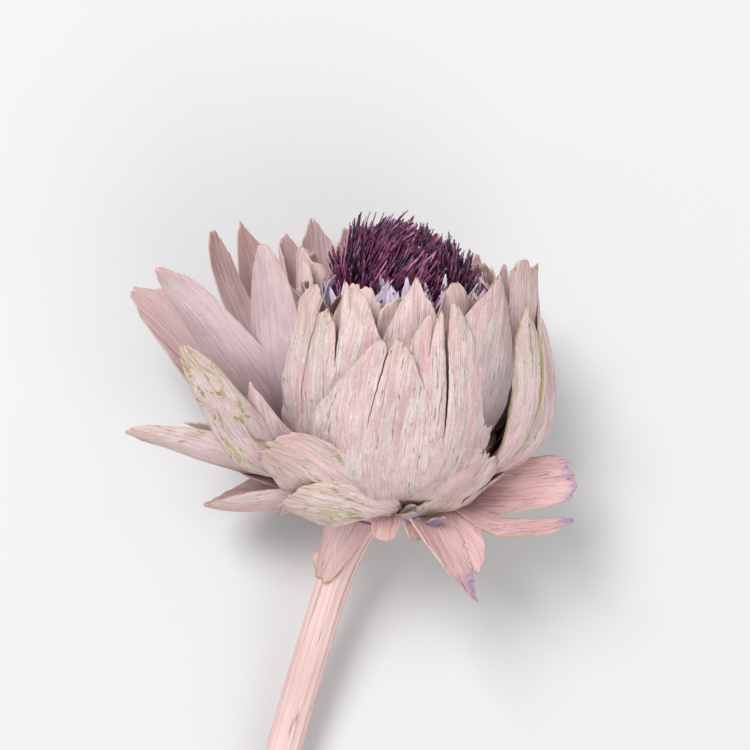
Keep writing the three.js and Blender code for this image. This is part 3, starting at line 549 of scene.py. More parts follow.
def make_inner_scales(material):
    rng = np.random.default_rng(SEED)
    parts = []
    for number, ring in enumerate(SCALE_RINGS):
        for k in range(ring["count"]):
            azimuth = ring["start"] + 360 * k / ring["count"]
            lean = OPEN_LEAN * max(0, math.cos(math.radians(azimuth - OPEN_SIDE)))
            height = ring["height"] + 2.5 * math.sin(3.7 * k) + rng.normal(0, 1.8)
            spec = dict(
                azimuth=azimuth, swing=rng.normal(0, 4), root=(ring["root"], RECEPTACLE_TOP + 2), leave=14,
                arrive=-4 + 3 * lean + rng.normal(0, 9), tip=(ring["radius"] + lean, height),
                width=ring["width"] * rng.uniform(0.85, 1.15), wrap=rng.uniform(25, 75), foot=0.36,
                widest=0.65, point=rng.uniform(0.1, 0.6), taper=rng.uniform(1.3, 2.4),
                turn=14 + rng.normal(0, 9), roll_by=0.15, rows=32, columns=17, thickness=0.6, ridge=0.12,
                wave=0.9, jag=0.05, margin=0.08, crumple=0.9, rolled=rng.normal(0, 2.2),
                hook=rng.normal(-1.5, 3.0), silk=rng.random(),
            )
            parts.append(bract_sheet(spec, 100 * (number + 1) + k))
    stands_for(gathered("inner_scales", parts, material), "inner_bracts")
    collar = turned("inner_collar", [(0, 20.4), (24.6, 20.4), (24.6, 24.8), (0, 24.8)], 48, material)
    stands_for(collar, "inner_bracts")


# ---- Tuft ----
TUFT_SHIFT = -0.5
TUFT_TILT = 1.2
TUFT_RADIUS = 20.5
TUFT_PROFILE = [(0, 20.4), (16.8, 20.4), (16.8, 29), (19.5, 46), (TUFT_RADIUS, 58), (19.5, 68), (15.5, 76.5),
                (8.5, 81.5), (0, 83)]
FIRST_FLORET_KNOT = 3  # below this knot of the profile the core is bare
FLORETS = 2100
FLORET_RINGS = 6
FLORET_SIDES = 5
FLORET_SIZE = (0.26, 0.5)
FLORET_PROUD = 5.6
FLORET_SUNK = 2.5


def tuft_surface(share):
    """Radius, height and outward direction where the area from the lowest florets up has this share."""
    radius, height = along_profile(TUFT_PROFILE[FIRST_FLORET_KNOT:], 400)
    step = np.hypot(np.diff(radius), np.diff(height))
    middle = (radius[1:] + radius[:-1]) / 2
    area = np.r_[0, np.cumsum(step * middle)]
    out, rise = np.gradient(height), -np.gradient(radius)
    slope = np.hypot(out, rise)
    wanted = (radius, height, out / slope, rise / slope)
    return [np.interp(share, area / area[-1], values) for values in wanted]


def floret_stance(rng):
    """Foot and direction of each floret, how far it stands out, and its clump's value."""
    share = (np.arange(FLORETS) + 0.5) / FLORETS
    azimuth = np.arange(FLORETS) * math.pi * (3 - math.sqrt(5)) + rng.normal(0, 0.05, FLORETS)
    radius, height, out, rise = tuft_surface(share)
    normal = np.stack([np.cos(azimuth) * out, np.sin(azimuth) * out, rise], -1)
    tilt = TUFT_TILT * radius / TUFT_RADIUS * np.cos(azimuth) * smooth((height - 50) / 20)
    foot = np.stack([TUFT_SHIFT + radius * np.cos(azimuth), radius * np.sin(azimuth), height - tilt], -1)
    # Florets lean together in clumps, and more to the right on the left side.
    clump = noise(foot[:, 0] / 3.2, foot[:, 1] / 3.2 + foot[:, 2] / 5, 31)
    lean = 20 - 26 * radius / TUFT_RADIUS * np.cos(azimuth) + 20 * clump + rng.normal(0, 9, FLORETS)
    sway = 20 * noise(foot[:, 0] / 3.6, foot[:, 2] / 4 + foot[:, 1] / 4, 32) + rng.normal(0, 9, FLORETS)
    lean, sway = np.radians(lean), np.radians(sway)
    direction = unit(np.stack([np.sin(lean), np.sin(sway), np.cos(lean) * np.cos(sway)], -1))
    standing = (direction * normal).sum(-1)
    direction = unit(direction + normal * np.maximum(0.3 - standing, 0)[:, None])
    standing = (direction * normal).sum(-1)
    proud = FLORET_PROUD * (0.62 + 0.38 * standing) * rng.uniform(0.6, 1.0, FLORETS) * (1 + 0.2 * clump)
    proud = proud * (1 - 0.3 * np.clip(foot[:, 0] / TUFT_RADIUS, 0, 1) * rise)
    return foot, direction, proud / standing, FLORET_SUNK / standing, clump


def floret_tubes(rng, foot, direction, length_out, length_in):
    """Points of every floret, ring by ring from its foot."""
    bend = rng.normal(0, 0.8, (FLORETS, 3))
    size = rng.uniform(*FLORET_SIZE, FLORETS)
    side = unit(np.cross(direction, rng.normal(0, 1, (FLORETS, 3))))
    other = np.cross(direction, side)
    points = []
    for t in np.linspace(0, 1, FLORET_RINGS):
        centre = foot + direction * (-length_in + (length_in + length_out) * t)[:, None] + bend * t * t
        width = size * (1 - 0.45 * t ** 4)
        for c in range(FLORET_SIDES):
            angle = 2 * math.pi * c / FLORET_SIDES + 0.9 * t
            points.append(centre + side * (width * 1.15 * math.cos(angle))[:, None]
                          + other * (width * 0.6 * math.sin(angle))[:, None])
    return np.stack(points, 1).reshape(-1, 3)


def make_florets(material, shadow_core_material):
    rng = np.random.default_rng(SEED + 1)
    foot, direction, length_out, length_in, clump = floret_stance(rng)
    points = floret_tubes(rng, foot, direction, length_out, length_in)
    per = FLORET_RINGS * FLORET_SIDES
    local = grid_faces(FLORET_RINGS - 1, FLORET_SIDES, 0, True).tolist()
    local.append([per - FLORET_SIDES + c for c in range(FLORET_SIDES)])
    local.append(list(range(FLORET_SIDES))[::-1])
    faces = [[k * per + i for i in face] for k in range(FLORETS) for face in local]
    tone_and_highlight = np.repeat(np.clip(rng.random(FLORETS) ** 1.3 * 0.8 + 0.3 * clump, 0, 1), per)
    reach = np.tile(np.repeat(np.linspace(0, 1, FLORET_RINGS), FLORET_SIDES), FLORETS)
    thing = mesh_object("florets", on_head(points), faces, material,
                        {"tone_and_highlight": tone_and_highlight, "reach": reach, "blade": points})
    stands_for(thing, "floret_tuft")
    core = turned("floret_shadow_core", TUFT_PROFILE, 64, shadow_core_material, TUFT_SHIFT)
    stands_for(core, "floret_tuft")


# ---- Papery chaff round the tuft ----
CHAFF = 64


def make_chaff(material):
    rng = np.random.default_rng(SEED + 2)
    parts = []
    for k in range(CHAFF):
        radius = rng.uniform(22.0, 24.5)
        azimuth = 360 * (k + rng.uniform(-0.3, 0.3)) / CHAFF
        height = rng.uniform(60, 70) + 3 * (k % 2) + 4 * max(0, math.cos(math.radians(azimuth - 80)))
        out = rng.uniform(-0.5, 3.2)
        spec = dict(
            azimuth=azimuth, swing=rng.normal(0, 7), root=(radius - 1.2, 40),
            tip=(radius + out, height), leave=4, arrive=rng.normal(6, 22), width=rng.uniform(4, 8),
            wrap=rng.uniform(10, 60), foot=0.7, widest=0.5, point=rng.uniform(0.05, 0.3), taper=1.3,
            turn=rng.normal(0, 25), rows=22, columns=8, thickness=0.35, ridge=0.08, wave=0.35, jag=0.04,
            margin=0.1, hook=rng.normal(0, 1.4), silk=rng.random(),
        )
        parts.append(bract_sheet(spec, 900 + k))
    stands_for(gathered("papery_chaff", parts, material), "inner_bracts")


# ---- Stem ----
STEM_RADIUS = 6.0
STEM_NECK_RADIUS = 9.0
NECK_LENGTH = 30.0
LYING = STEM_RADIUS * math.cos(math.pi / 16)
STEM_ROUTE = [(-9.0, -6.0, 33.0), (-16.4, -24.5, 26.2), (-25.0, -50.6, 18.8), (-35.9, -88.0, 11.4),
              (-48.0, -136.0, 6.9), (-58.5, -176.0, LYING), (-70.5, -222.0, LYING)]
STEM_SIDES = 108
STEM_RIBS = 15
RIB_DEPTH = 0.22
CUT_RINGS = [(1.0, 0.0), (0.86, 0.15), (0.6, -0.5), (0.3, -0.9), (0.08, -1.1)]  # share of radius, out


def between(s, start, end, first, second):
    """The value at s between first, at start, and second, at end."""
    return (end - s) / (end - start) * first + (s - start) / (end - start) * second


def stem_line(count=220):
    """Even points of a smooth curve through the route, with side and up directions and running length."""
    knots = np.array(STEM_ROUTE) + np.array([HEAD_FOOT[0], HEAD_FOOT[1], 0])
    gaps = np.sqrt(np.linalg.norm(np.diff(knots, axis=0), axis=1))
    t = np.r_[0, np.cumsum(gaps)]
    padded = np.vstack([2 * knots[0] - knots[1], knots, 2 * knots[-1] - knots[-2]])
    times = np.r_[-gaps[0], t, t[-1] + gaps[-1]]
    points = []
    for s in np.linspace(0, t[-1], 600):
        k = min(max(int(np.searchsorted(t, s, side="right")) - 1, 0), len(knots) - 2)
        p, q = padded[k:k + 4], times[k:k + 4]
        a = [between(s, q[i], q[i + 1], p[i], p[i + 1]) for i in range(3)]
        b = [between(s, q[i], q[i + 2], a[i], a[i + 1]) for i in range(2)]
        points.append(between(s, q[1], q[2], b[0], b[1]))
    points = np.array(points)
    length = running_length(points)
    even = np.linspace(0, length[-1], count + 1)
    points = sampled(even, length, points)
    tangent = unit(np.gradient(points, axis=0))
    right = unit(np.cross([0, 0, 1.0], tangent))
    return even, points, right, np.cross(tangent, right)


def stem_radius(length):
    return STEM_RADIUS + (STEM_NECK_RADIUS - STEM_RADIUS) * np.clip(1 - length / NECK_LENGTH, 0, 1) ** 1.6


def stem_side(even, centre, right, up, angle):
    """Rings of points round the ribbed side, their places for the material and how deep they lie."""
    twist = 0.0012 * even[:, None]
    ribs = np.cos(STEM_RIBS * (angle[None] + twist) + 0.7 * noise(angle * 2, even[:, None] / 60, 5))
    depth = RIB_DEPTH * (0.5 - 0.5 * ribs) ** 1.5
    fine = 0.07 * rough(angle[None] * 18, even[:, None] / 26, 6, 3)
    fine = fine + 0.22 * noise(angle * 2.2, even[:, None] / 30, 7)
    radius = stem_radius(even)[:, None] - depth + np.minimum(fine, 0.1) - 0.1
    outward = (np.cos(angle)[None, :, None] * right[:, None] + np.sin(angle)[None, :, None] * up[:, None])
    points = centre[:, None] + radius[..., None] * outward
    points[..., 2] = np.maximum(points[..., 2], 0)
    blade = np.stack([np.broadcast_to(angle * 6, radius.shape), np.broadcast_to(even[:, None], radius.shape),
                      np.full(radius.shape, 3.0)], -1)
    return points, blade, depth / RIB_DEPTH


def stem_cut(last_ring, centre, angle):
    """Rings that close the cut end, hollowed a little towards its pith, and their places."""
    end, back = centre[-1], unit(centre[-1] - centre[-2])
    points = [end + (last_ring - end) * share + back * out for share, out in CUT_RINGS]
    blade = [np.stack([np.cos(angle) * 6 * share, np.sin(angle) * 6 * share, np.full(len(angle), 9.0)], -1)
             for share, _ in CUT_RINGS]
    return np.concatenate(points), np.concatenate(blade)


def stem_faces(rows, sides):
    """Faces of the side, the cut end and the hidden end in the head."""
    start, last = (rows + 1) * sides, len(CUT_RINGS) - 1
    faces = grid_faces(rows, sides, 0, True)[:, ::-1].tolist()
    faces += grid_faces(last, sides, start, True)[:, ::-1].tolist()
    faces += [[rows * sides + j, start + j, start + (j + 1) % sides, rows * sides + (j + 1) % sides]
              for j in range(sides)]
    faces.append([start + last * sides + j for j in range(sides)][::-1])
    faces.append(list(range(sides)))
    return faces


def make_stem(material, leaf_material):
    even, centre, right, up = stem_line()
    angle = np.linspace(0, 2 * np.pi, STEM_SIDES, endpoint=False)
    side, side_blade, side_groove = stem_side(even, centre, right, up, angle)
    end, end_blade = stem_cut(side[-1], centre, angle)
    points = np.concatenate([side.reshape(-1, 3), end])
    attributes = {
        "blade": np.concatenate([side_blade.reshape(-1, 3), end_blade]),
        "groove": np.r_[side_groove.reshape(-1), np.full(len(end), 0.5)],
        "cut": np.r_[np.zeros(side_groove.size), np.ones(len(end))],
    }
    faces = stem_faces(len(even) - 1, STEM_SIDES)
    thing = mesh_object("stem_ribbed", points, faces, material, attributes)
    stands_for(thing, "stem")
    make_stem_leaf(leaf_material)


LEAF_FROM, LEAF_TO = 3, 28  # lengths along the stem
LEAF_MIDDLE, LEAF_HALF_ANGLE = 120, 75  # degrees round the stem: 0 is right, 90 up
LEAF_FLARE = 3.2  # how far its left side stands off the stem under the head


def around_stem(length, angle, radius):
    """Points at these lengths along the stem, angles round it and radii from its centre line."""
    even, centre, right, up = stem_line()
    centre, right, up = (sampled(length, even, values) for values in (centre, right, up))
    return centre + radius[..., None] * (np.cos(angle)[..., None] * right + np.sin(angle)[..., None] * up)


def make_stem_leaf(material):
    rows, columns = 48, 40
    t = np.linspace(0, 1, rows + 1)[:, None]
    c = np.linspace(-1, 1, columns + 1)[None]
    tip_shape = 1 - 0.06 * np.abs(c) ** 2 + 0.03 * noise(c * 4, 0.0, 3)
    length = LEAF_FROM + (LEAF_TO - LEAF_FROM) * t * tip_shape
    ragged = 1 + 0.03 * noise(t * 6, np.sign(c), 8)
    half_angle = math.radians(LEAF_HALF_ANGLE) * (1 - 0.52 * t * t) * ragged
    angle = np.radians(LEAF_MIDDLE + 12 * t) + half_angle * c
    lift = 0.2 + 0.6 * t + LEAF_FLARE * (1 - t) ** 2 * (1 + c) / 2 + 0.15 * rough(c * 4, t * 2, 12)
    curl = 2.4 * smooth((c - 0.7) / 0.3) * np.exp(-((t - 0.82) / 0.1) ** 2)
    lift = lift + curl
    radius = stem_radius(length) + lift
    points = around_stem(length, angle, radius)
    outwards = points - around_stem(length, angle, radius - 1)
    across = half_angle * c * 8
    distance = np.minimum((1 - np.abs(c)) * half_angle * 8, (1 - t) * (LEAF_TO - LEAF_FROM))
    edge = np.exp(-distance / 0.9)
    along = length * np.ones_like(c)
    data = np.stack([across * np.ones_like(t), along, np.full_like(along, 5.0), edge,
                     np.exp(-(1 - t) * 27 / 6) * np.ones_like(c), t * np.ones_like(c)], -1)
    sheet = Sheet()
    sheet.add_strip(points, outwards, 0.9 * (1 - 0.4 * edge), data)
    some, faces, data, side = sheet.solid()
    bract = {**BRACT, "cream": 0.0, "edge_tint": 2.5, "blush": 1.0}
    thing = mesh_object("stem_leaf", some, faces, material, bract_attributes(bract, data, side))
    stands_for(thing, "stem")


# ---- Materials ----
class Paint:
    """A material's node tree, built by short calls."""

    def __init__(self, name, roughness=0.8, specular=0.3):
        self.material = bpy.data.materials.new(name)
        self.material.use_nodes = True
        self.tree = self.material.node_tree
        self.shader = self.tree.nodes["Principled BSDF"]
        self.shader.inputs["Roughness"].default_value = roughness
        self.shader.inputs["Specular IOR Level"].default_value = specular

    def node(self, kind, inputs=(), output=0, **settings):
        made = self.tree.nodes.new(kind)
        for key, value in settings.items():
            setattr(made, key, value)
        for key, value in dict(inputs).items():
            self.put(made.inputs[key], value)
        return made.outputs[output]

    def put(self, socket, value):
        if isinstance(value, bpy.types.NodeSocket):
            self.tree.links.new(value, socket)
        elif isinstance(value, tuple) and len(value) == 3 and socket.type == "RGBA":
            socket.default_value = (*value, 1)
        else:
            socket.default_value = value

    def attribute(self, name, output="Vector"):
        return self.node("ShaderNodeAttribute", output=output, attribute_name=name)

    def parts(self, name):
        """Red, green, blue and alpha of a colour attribute."""
        made = self.tree.nodes.new("ShaderNodeAttribute")
        made.attribute_name = name
        split = self.tree.nodes.new("ShaderNodeSeparateColor")
        self.tree.links.new(made.outputs["Color"], split.inputs[0])
        return split.outputs[0], split.outputs[1], split.outputs[2], made.outputs["Alpha"]

    def stretch(self, vector, scale):
        return self.node("ShaderNodeVectorMath", {0: vector, 1: scale}, operation="MULTIPLY")

    def noise(self, vector, scale=1.0, detail=3.0, rough=0.55, distortion=0.0):
        return self.node("ShaderNodeTexNoise", {"Vector": vector, "Scale": scale, "Detail": detail,
                                                "Roughness": rough, "Distortion": distortion})

    def grain(self, vector, across, along, detail, rough, distortion=0.0):
        """Noise with these scales across and along a blade."""
        return self.noise(self.stretch(vector, (across, along, 1.0)), 1.0, detail, rough, distortion)

    def math(self, operation, *values):
        return self.node("ShaderNodeMath", dict(enumerate(values)), operation=operation)

    def times(self, first, second):
        return self.math("MULTIPLY", first, second)

    def plus(self, first, second):
        return self.math("ADD", first, second)

    def minus(self, first, second):
        return self.math("SUBTRACT", first, second)

    def band(self, value, low, high, to_low=0.0, to_high=1.0):
        return self.node("ShaderNodeMapRange", {"Value": value, "From Min": low, "From Max": high,
                                                "To Min": to_low, "To Max": to_high},
                         interpolation_type="SMOOTHSTEP")

    def mix(self, share, first, second, blend="MIX"):
        made = self.tree.nodes.new("ShaderNodeMix")
        made.data_type = "RGBA"
        made.blend_type = blend
        self.put(made.inputs[0], share)
        self.put(made.inputs[6], first)
        self.put(made.inputs[7], second)
        return made.outputs[2]

    def cover(self, color, laid, value, low, high, share):
        """A colour with another laid over it, up to this share, as a value goes from low to high."""
        return self.mix(self.band(value, low, high, 0.0, share), color, laid)

    def bump(self, height, strength, distance):
        return self.node("ShaderNodeBump", {"Height": height, "Strength": strength, "Distance": distance})

    def finish(self, color, normal=None):
        self.put(self.shader.inputs["Base Color"], color)
        if normal is not None:
            self.put(self.shader.inputs["Normal"], normal)
        return self.material


PINK_LIGHT = (0.80, 0.59, 0.59)
PINK_DEEP = (0.69, 0.445, 0.45)
CHALK = (0.80, 0.70, 0.69)
CREAM = (0.70, 0.61, 0.525)
OLIVE = (0.42, 0.34, 0.17)
TAN = (0.62, 0.51, 0.35)
LINE_BROWN = (0.28, 0.18, 0.15)
PEACH = (0.66, 0.36, 0.26)
VIOLET = (0.42, 0.31, 0.52)
MAUVE = (0.52, 0.33, 0.35)
MAUVE_LIGHT = (0.65, 0.45, 0.46)
MAUVE_ROOT_SHADE = (0.28, 0.15, 0.165)
SHADED = (0.30, 0.22, 0.24)
CHALK_FIBRE = (0.84, 0.75, 0.74)
BLOTCH_DARK = (0.64, 0.40, 0.41)
BLOTCH_PALE = (0.86, 0.79, 0.79)
FLECK = (0.90, 0.85, 0.84)
FIBRE_DARK = (0.44, 0.28, 0.27)
RIB_DARK = (0.50, 0.34, 0.34)
ROSY_LIGHT = (0.80, 0.545, 0.53)
ROSY_DEEP = (0.71, 0.44, 0.435)
FLAKED = (0.36, 0.30, 0.28)
SILK_LIGHT = (0.80, 0.62, 0.63)
SILK_DEEP = (0.67, 0.495, 0.515)
SILK_CHALK = (0.72, 0.65, 0.66)
SILK_ROOT_SHADE = (0.30, 0.18, 0.20)
ROOT_PAINTED_SHADE = (0.42, 0.27, 0.27)
INSIDE_CLOUD = (0.47, 0.30, 0.32)
INSIDE_ROSY = (0.80, 0.53, 0.52)
INSIDE_ROSY_DEEP = (0.70, 0.43, 0.435)
INSIDE_CHALK = (0.80, 0.65, 0.64)
NEAR_BLACK = (0.07, 0.05, 0.055)
PATCH_RIM = (0.76, 0.67, 0.58)


def coat_grains(paint, blade):
    """The noises that the painted coat is made of."""
    return dict(
        clouds=paint.grain(blade, 0.09, 0.045, 3.0, 0.55),
        chalky=paint.grain(blade, 0.22, 0.05, 4.0, 0.62),
        fibres=paint.grain(blade, 2.5, 0.10, 4.0, 0.65),
        flecks=paint.grain(blade, 1.5, 0.45, 3.0, 0.6),
        blotches=paint.grain(blade, 0.42, 0.16, 5.0, 0.65, 0.5),
        ribs=paint.grain(blade, 0.62, 0.028, 2.0, 0.5),
        specks=paint.grain(blade, 1.8, 1.0, 4.0, 0.7),
    )


# Layers of the coat, from below: noise, where it starts and is full, greatest share, colour.
COAT_LAYERS = [
    ("chalky", 0.46, 0.60, 0.75, CHALK),
    ("fibres", 0.53, 0.68, 0.5, CHALK_FIBRE),
    ("blotches", 0.56, 0.62, 0.45, BLOTCH_DARK),
    ("blotches", 0.42, 0.36, 0.5, BLOTCH_PALE),
    ("flecks", 0.60, 0.66, 0.6, FLECK),
    ("fibres", 0.45, 0.33, 0.5, FIBRE_DARK),
    ("ribs", 0.42, 0.30, 0.4, RIB_DARK),
]


def rosy_finish(paint, color, grains, blush):
    rosy = paint.mix(paint.band(grains["clouds"], 0.40, 0.60), ROSY_LIGHT, ROSY_DEEP)
    rosy = paint.cover(rosy, CHALK, grains["fibres"], 0.56, 0.70, 0.4)
    return paint.mix(paint.times(blush, 0.85), color, rosy)


def worn_finish(paint, color, grains, along, cream):
    """Cream ground where the paint is worn, more so towards the tip, with small dark flakes."""
    worn = paint.plus(grains["chalky"], paint.times(along, 0.16))
    worn = paint.times(cream, paint.band(worn, 0.52, 0.66, 0, 0.85))
    flaked = paint.times(worn, paint.band(grains["specks"], 0.57, 0.61, 0, 0.85))
    return paint.mix(flaked, paint.mix(worn, color, CREAM), FLAKED)


def silky_finish_and_shade(paint, color, grains, along, silk):
    silky = paint.mix(paint.band(grains["clouds"], 0.38, 0.62), SILK_LIGHT, SILK_DEEP)
    silky = paint.cover(silky, SILK_CHALK, grains["chalky"], 0.54, 0.70, 0.5)
    color = paint.mix(silk, color, silky)
    # Painted shade: silky bracts darken towards the root.
    return paint.mix(paint.times(silk, paint.band(along, 0.65, 0.2, 0, 0.8)), color, SILK_ROOT_SHADE)


def crack_lines(paint, grains, silk):
    """Thin dark lines along the ribs, none on silky bracts."""
    line = paint.math("ABSOLUTE", paint.minus(grains["ribs"], 0.5))
    shown = paint.band(grains["chalky"], 0.44, 0.56, 0.0, 0.75)
    line = paint.times(paint.band(line, 0.0, 0.007, 1, 0), shown)
    return paint.times(line, paint.minus(1.0, silk))


def chalky_coat(paint, grains, along, cream, silk, blush):
    """Pink paint with chalky areas, thin fibres and dark lines, and the height that goes with it."""
    color = paint.mix(paint.band(grains["clouds"], 0.38, 0.62), PINK_LIGHT, PINK_DEEP)
    for grain, low, high, share, laid in COAT_LAYERS:
        color = paint.cover(color, laid, grains[grain], low, high, share)
    color = rosy_finish(paint, color, grains, blush)
    color = worn_finish(paint, color, grains, along, cream)
    color = silky_finish_and_shade(paint, color, grains, along, silk)
    # Painted shade: darker towards the root, deep among the neighbouring bracts.
    color = paint.cover(color, ROOT_PAINTED_SHADE, along, 0.3, 0.0, 0.45)
    line = crack_lines(paint, grains, silk)
    color = paint.mix(line, color, LINE_BROWN)
    height = paint.plus(paint.times(grains["ribs"], 0.8), paint.times(grains["fibres"], 0.5))
    height = paint.plus(height, paint.times(grains["specks"], 0.2))
    return color, paint.minus(height, paint.times(line, 0.5))


def inside_coat(paint, grains, along, blush):
    coat = paint.mix(paint.band(along, 0.25, 0.95), MAUVE, MAUVE_LIGHT)
    coat = paint.cover(coat, INSIDE_CLOUD, grains["clouds"], 0.42, 0.62, 0.6)
    rosy = paint.mix(paint.band(grains["clouds"], 0.38, 0.62), INSIDE_ROSY, INSIDE_ROSY_DEEP)
    coat = paint.mix(blush, coat, rosy)
    coat = paint.cover(coat, INSIDE_CHALK, grains["chalky"], 0.56, 0.72, 0.3)
    # Painted shade: the inside darkens towards the root, down in the cup.
    return paint.cover(coat, MAUVE_ROOT_SHADE, along, 0.4, 0.0, 0.8)


def shaded_finish(paint, color, along, shade):
    """Dark towards the root, where a bract stands in its neighbours' shade."""
    dark = paint.mix(paint.band(along, 0.55, 0.38), SHADED, NEAR_BLACK)
    return paint.mix(paint.times(shade, paint.band(along, 0.85, 0.42, 0.2, 1)), color, dark)


def bared_finish(paint, color, patches, ground, side, bare):
    """Patches on the outside where the paint is gone, with a pale rim."""
    bared = paint.plus(patches, paint.times(bare, 0.12))
    color = paint.mix(paint.times(side, paint.band(bared, 0.64, 0.68, 0, 0.8)), color, PATCH_RIM)
    return paint.mix(paint.times(side, paint.band(bared, 0.675, 0.69)), color, ground)


def violet_stain(paint, color, patches, along, edge, stain):
    stained = paint.plus(paint.times(patches, 0.5), paint.times(along, 0.6))
    stained = paint.plus(stained, paint.times(edge, 0.08))
    stained = paint.band(paint.plus(stained, paint.times(stain, 0.5)), 1.28, 1.38, 0, 0.9)
    return paint.mix(stained, color, VIOLET)


def bare_rim(paint, color, patches, ground, edge, edge_tint):
    rim = paint.plus(edge, paint.times(edge_tint, 0.2))
    rim = paint.times(paint.band(rim, 0.85, 1.1), paint.band(patches, 0.40, 0.50, 0.25, 1.0))
    return paint.mix(paint.times(rim, paint.math("MINIMUM", edge_tint, 1.0)), color, ground)


def painted_bract():
    paint = Paint("painted_bract", roughness=0.78, specular=0.3)
    blade = paint.attribute("blade")
    edge, tip, side, along = paint.parts("mask")
    cream, bare, stain, silk = paint.parts("wear")
    tip_tint, edge_tint, blush, shade = paint.parts("tint_and_shade")
    grains = coat_grains(paint, blade)
    patches = paint.grain(blade, 0.20, 0.065, 6.0, 0.72, 0.8)
    ground = paint.mix(paint.band(grains["chalky"], 0.42, 0.6), OLIVE, TAN)
    outside, height = chalky_coat(paint, grains, along, cream, silk, blush)
    color = paint.mix(side, inside_coat(paint, grains, along, blush), outside)
    color = shaded_finish(paint, color, along, shade)
    color = bared_finish(paint, color, patches, ground, side, bare)
    color = violet_stain(paint, color, patches, along, edge, stain)
    tipped = paint.times(tip_tint, paint.band(grains["chalky"], 0.4, 0.62, 0.1, 0.9))
    color = paint.mix(paint.times(tip, tipped), color, PEACH)
    color = bare_rim(paint, color, patches, ground, edge, edge_tint)
    return paint.finish(color, paint.bump(height, 1.0, 0.0015))


def inner_scale():
    paint = Paint("inner_scale", roughness=0.65, specular=0.3)
    blade = paint.attribute("blade")
    edge, tip, side, along = paint.parts("mask")
    silk = paint.parts("wear")[3]
    streaks = paint.grain(blade, 1.1, 0.08, 4.0, 0.6)
    outside = paint.mix(silk, (0.54, 0.36, 0.36), (0.76, 0.57, 0.56))
    inside = paint.mix(silk, (0.27, 0.14, 0.13), (0.46, 0.30, 0.29))
    color = paint.mix(side, inside, outside)
    color = paint.cover(color, (0.78, 0.66, 0.63), streaks, 0.46, 0.66, 0.6)
    # Painted shade: near black towards the root, deep among the scales.
    color = paint.mix(paint.band(along, 0.0, 0.75, 0.9, 0), color, (0.16, 0.08, 0.09))
    color = paint.cover(color, (0.78, 0.66, 0.60), edge, 0.3, 0.8, 0.6)
    color = paint.mix(paint.times(tip, 0.35), color, (0.45, 0.28, 0.20))
    return paint.finish(color, paint.bump(streaks, 0.8, 0.0006))


def papery_chaff():
    paint = Paint("papery_chaff", roughness=0.55, specular=0.35)
    blade = paint.attribute("blade")
    along = paint.parts("mask")[3]
    silk = paint.parts("wear")[3]
    streaks = paint.grain(blade, 1.6, 0.12, 4.0, 0.6)
    color = paint.mix(silk, (0.50, 0.37, 0.55), (0.76, 0.67, 0.80))
    color = paint.cover(color, (0.90, 0.86, 0.92), streaks, 0.46, 0.62, 0.8)
    # Painted shade: dark towards the root, down among the florets.
    color = paint.mix(paint.band(along, 0.2, 0.6, 0.85, 0), color, (0.14, 0.06, 0.11))
    return paint.finish(color, paint.bump(streaks, 0.6, 0.0004))


def floret():
    paint = Paint("floret", roughness=0.45, specular=0.35)
    tone_and_highlight = paint.attribute("tone_and_highlight", "Fac")
    reach = paint.attribute("reach", "Fac")
    blade = paint.attribute("blade")
    color = paint.mix(paint.band(tone_and_highlight, 0.05, 0.8), (0.026, 0.004, 0.016), (0.23, 0.034, 0.105))
    # The lightest florets: partly their own lighter colour, partly painted highlight.
    color = paint.cover(color, (0.66, 0.30, 0.48), tone_and_highlight, 0.66, 1.0, 0.95)
    color = paint.mix(paint.band(paint.noise(blade, 0.5), 0.5, 0.62, 0, 0.3), color, (0.40, 0.24, 0.44))
    # Painted shade: near black at each floret's foot, deep in the tuft.
    color = paint.cover(color, (0.02, 0.006, 0.014), reach, 0.5, 0.1, 0.85)
    return paint.finish(color)


# Painted shadow: the core under the florets is near black, for the shade deep in the tuft.
def floret_shadow():
    paint = Paint("floret_shadow_core", roughness=0.8, specular=0.2)
    blade = paint.attribute("blade")
    return paint.finish(paint.mix(paint.noise(blade, 1.2), (0.012, 0.004, 0.009), (0.05, 0.014, 0.03)))


def stem_skin():
    paint = Paint("stem_skin", roughness=0.8, specular=0.25)
    blade = paint.attribute("blade")
    groove = paint.attribute("groove", "Fac")
    cut = paint.attribute("cut", "Fac")
    streaks = paint.grain(blade, 1.2, 0.05, 4.0, 0.6)
    fibres = paint.grain(blade, 3.0, 0.06, 3.0, 0.6)
    lines = paint.grain(blade, 0.32, 0.006, 2.0, 0.5)
    clouds = paint.grain(blade, 0.12, 0.04, 3.0, 0.55)
    color = paint.mix(paint.band(clouds, 0.35, 0.7), (0.73, 0.53, 0.51), (0.66, 0.445, 0.43))
    color = paint.cover(color, CHALK, streaks, 0.5, 0.75, 0.5)
    lines = paint.math("ABSOLUTE", paint.minus(lines, 0.5))
    broken = paint.band(streaks, 0.36, 0.56, 0.3, 1.0)
    color = paint.mix(paint.times(broken, paint.band(lines, 0.003, 0.014, 0.85, 0)), color,
                      (0.33, 0.20, 0.16))
    # Painted shade: darker in the rib grooves, by their depth.
    color = paint.mix(paint.times(groove, 0.22), color, (0.56, 0.35, 0.32))
    pith = paint.mix(paint.noise(blade, 1.5), (0.55, 0.42, 0.28), (0.75, 0.64, 0.48))
    color = paint.mix(cut, color, pith)
    return paint.finish(color, paint.bump(fibres, 0.4, 0.0004))


def receptacle_skin():
    paint = Paint("receptacle_skin", roughness=0.85, specular=0.2)
    blade = paint.attribute("blade")
    patches = paint.noise(blade, 0.25, 5.0, 0.6)
    color = paint.mix(paint.band(patches, 0.4, 0.6), (0.50, 0.34, 0.31), (0.33, 0.21, 0.17))
    return paint.finish(color, paint.bump(patches, 0.6, 0.001))


def plain_floor():
    paint = Paint("plain_floor", roughness=0.9, specular=0.2)
    return paint.finish((0.635, 0.63, 0.63))


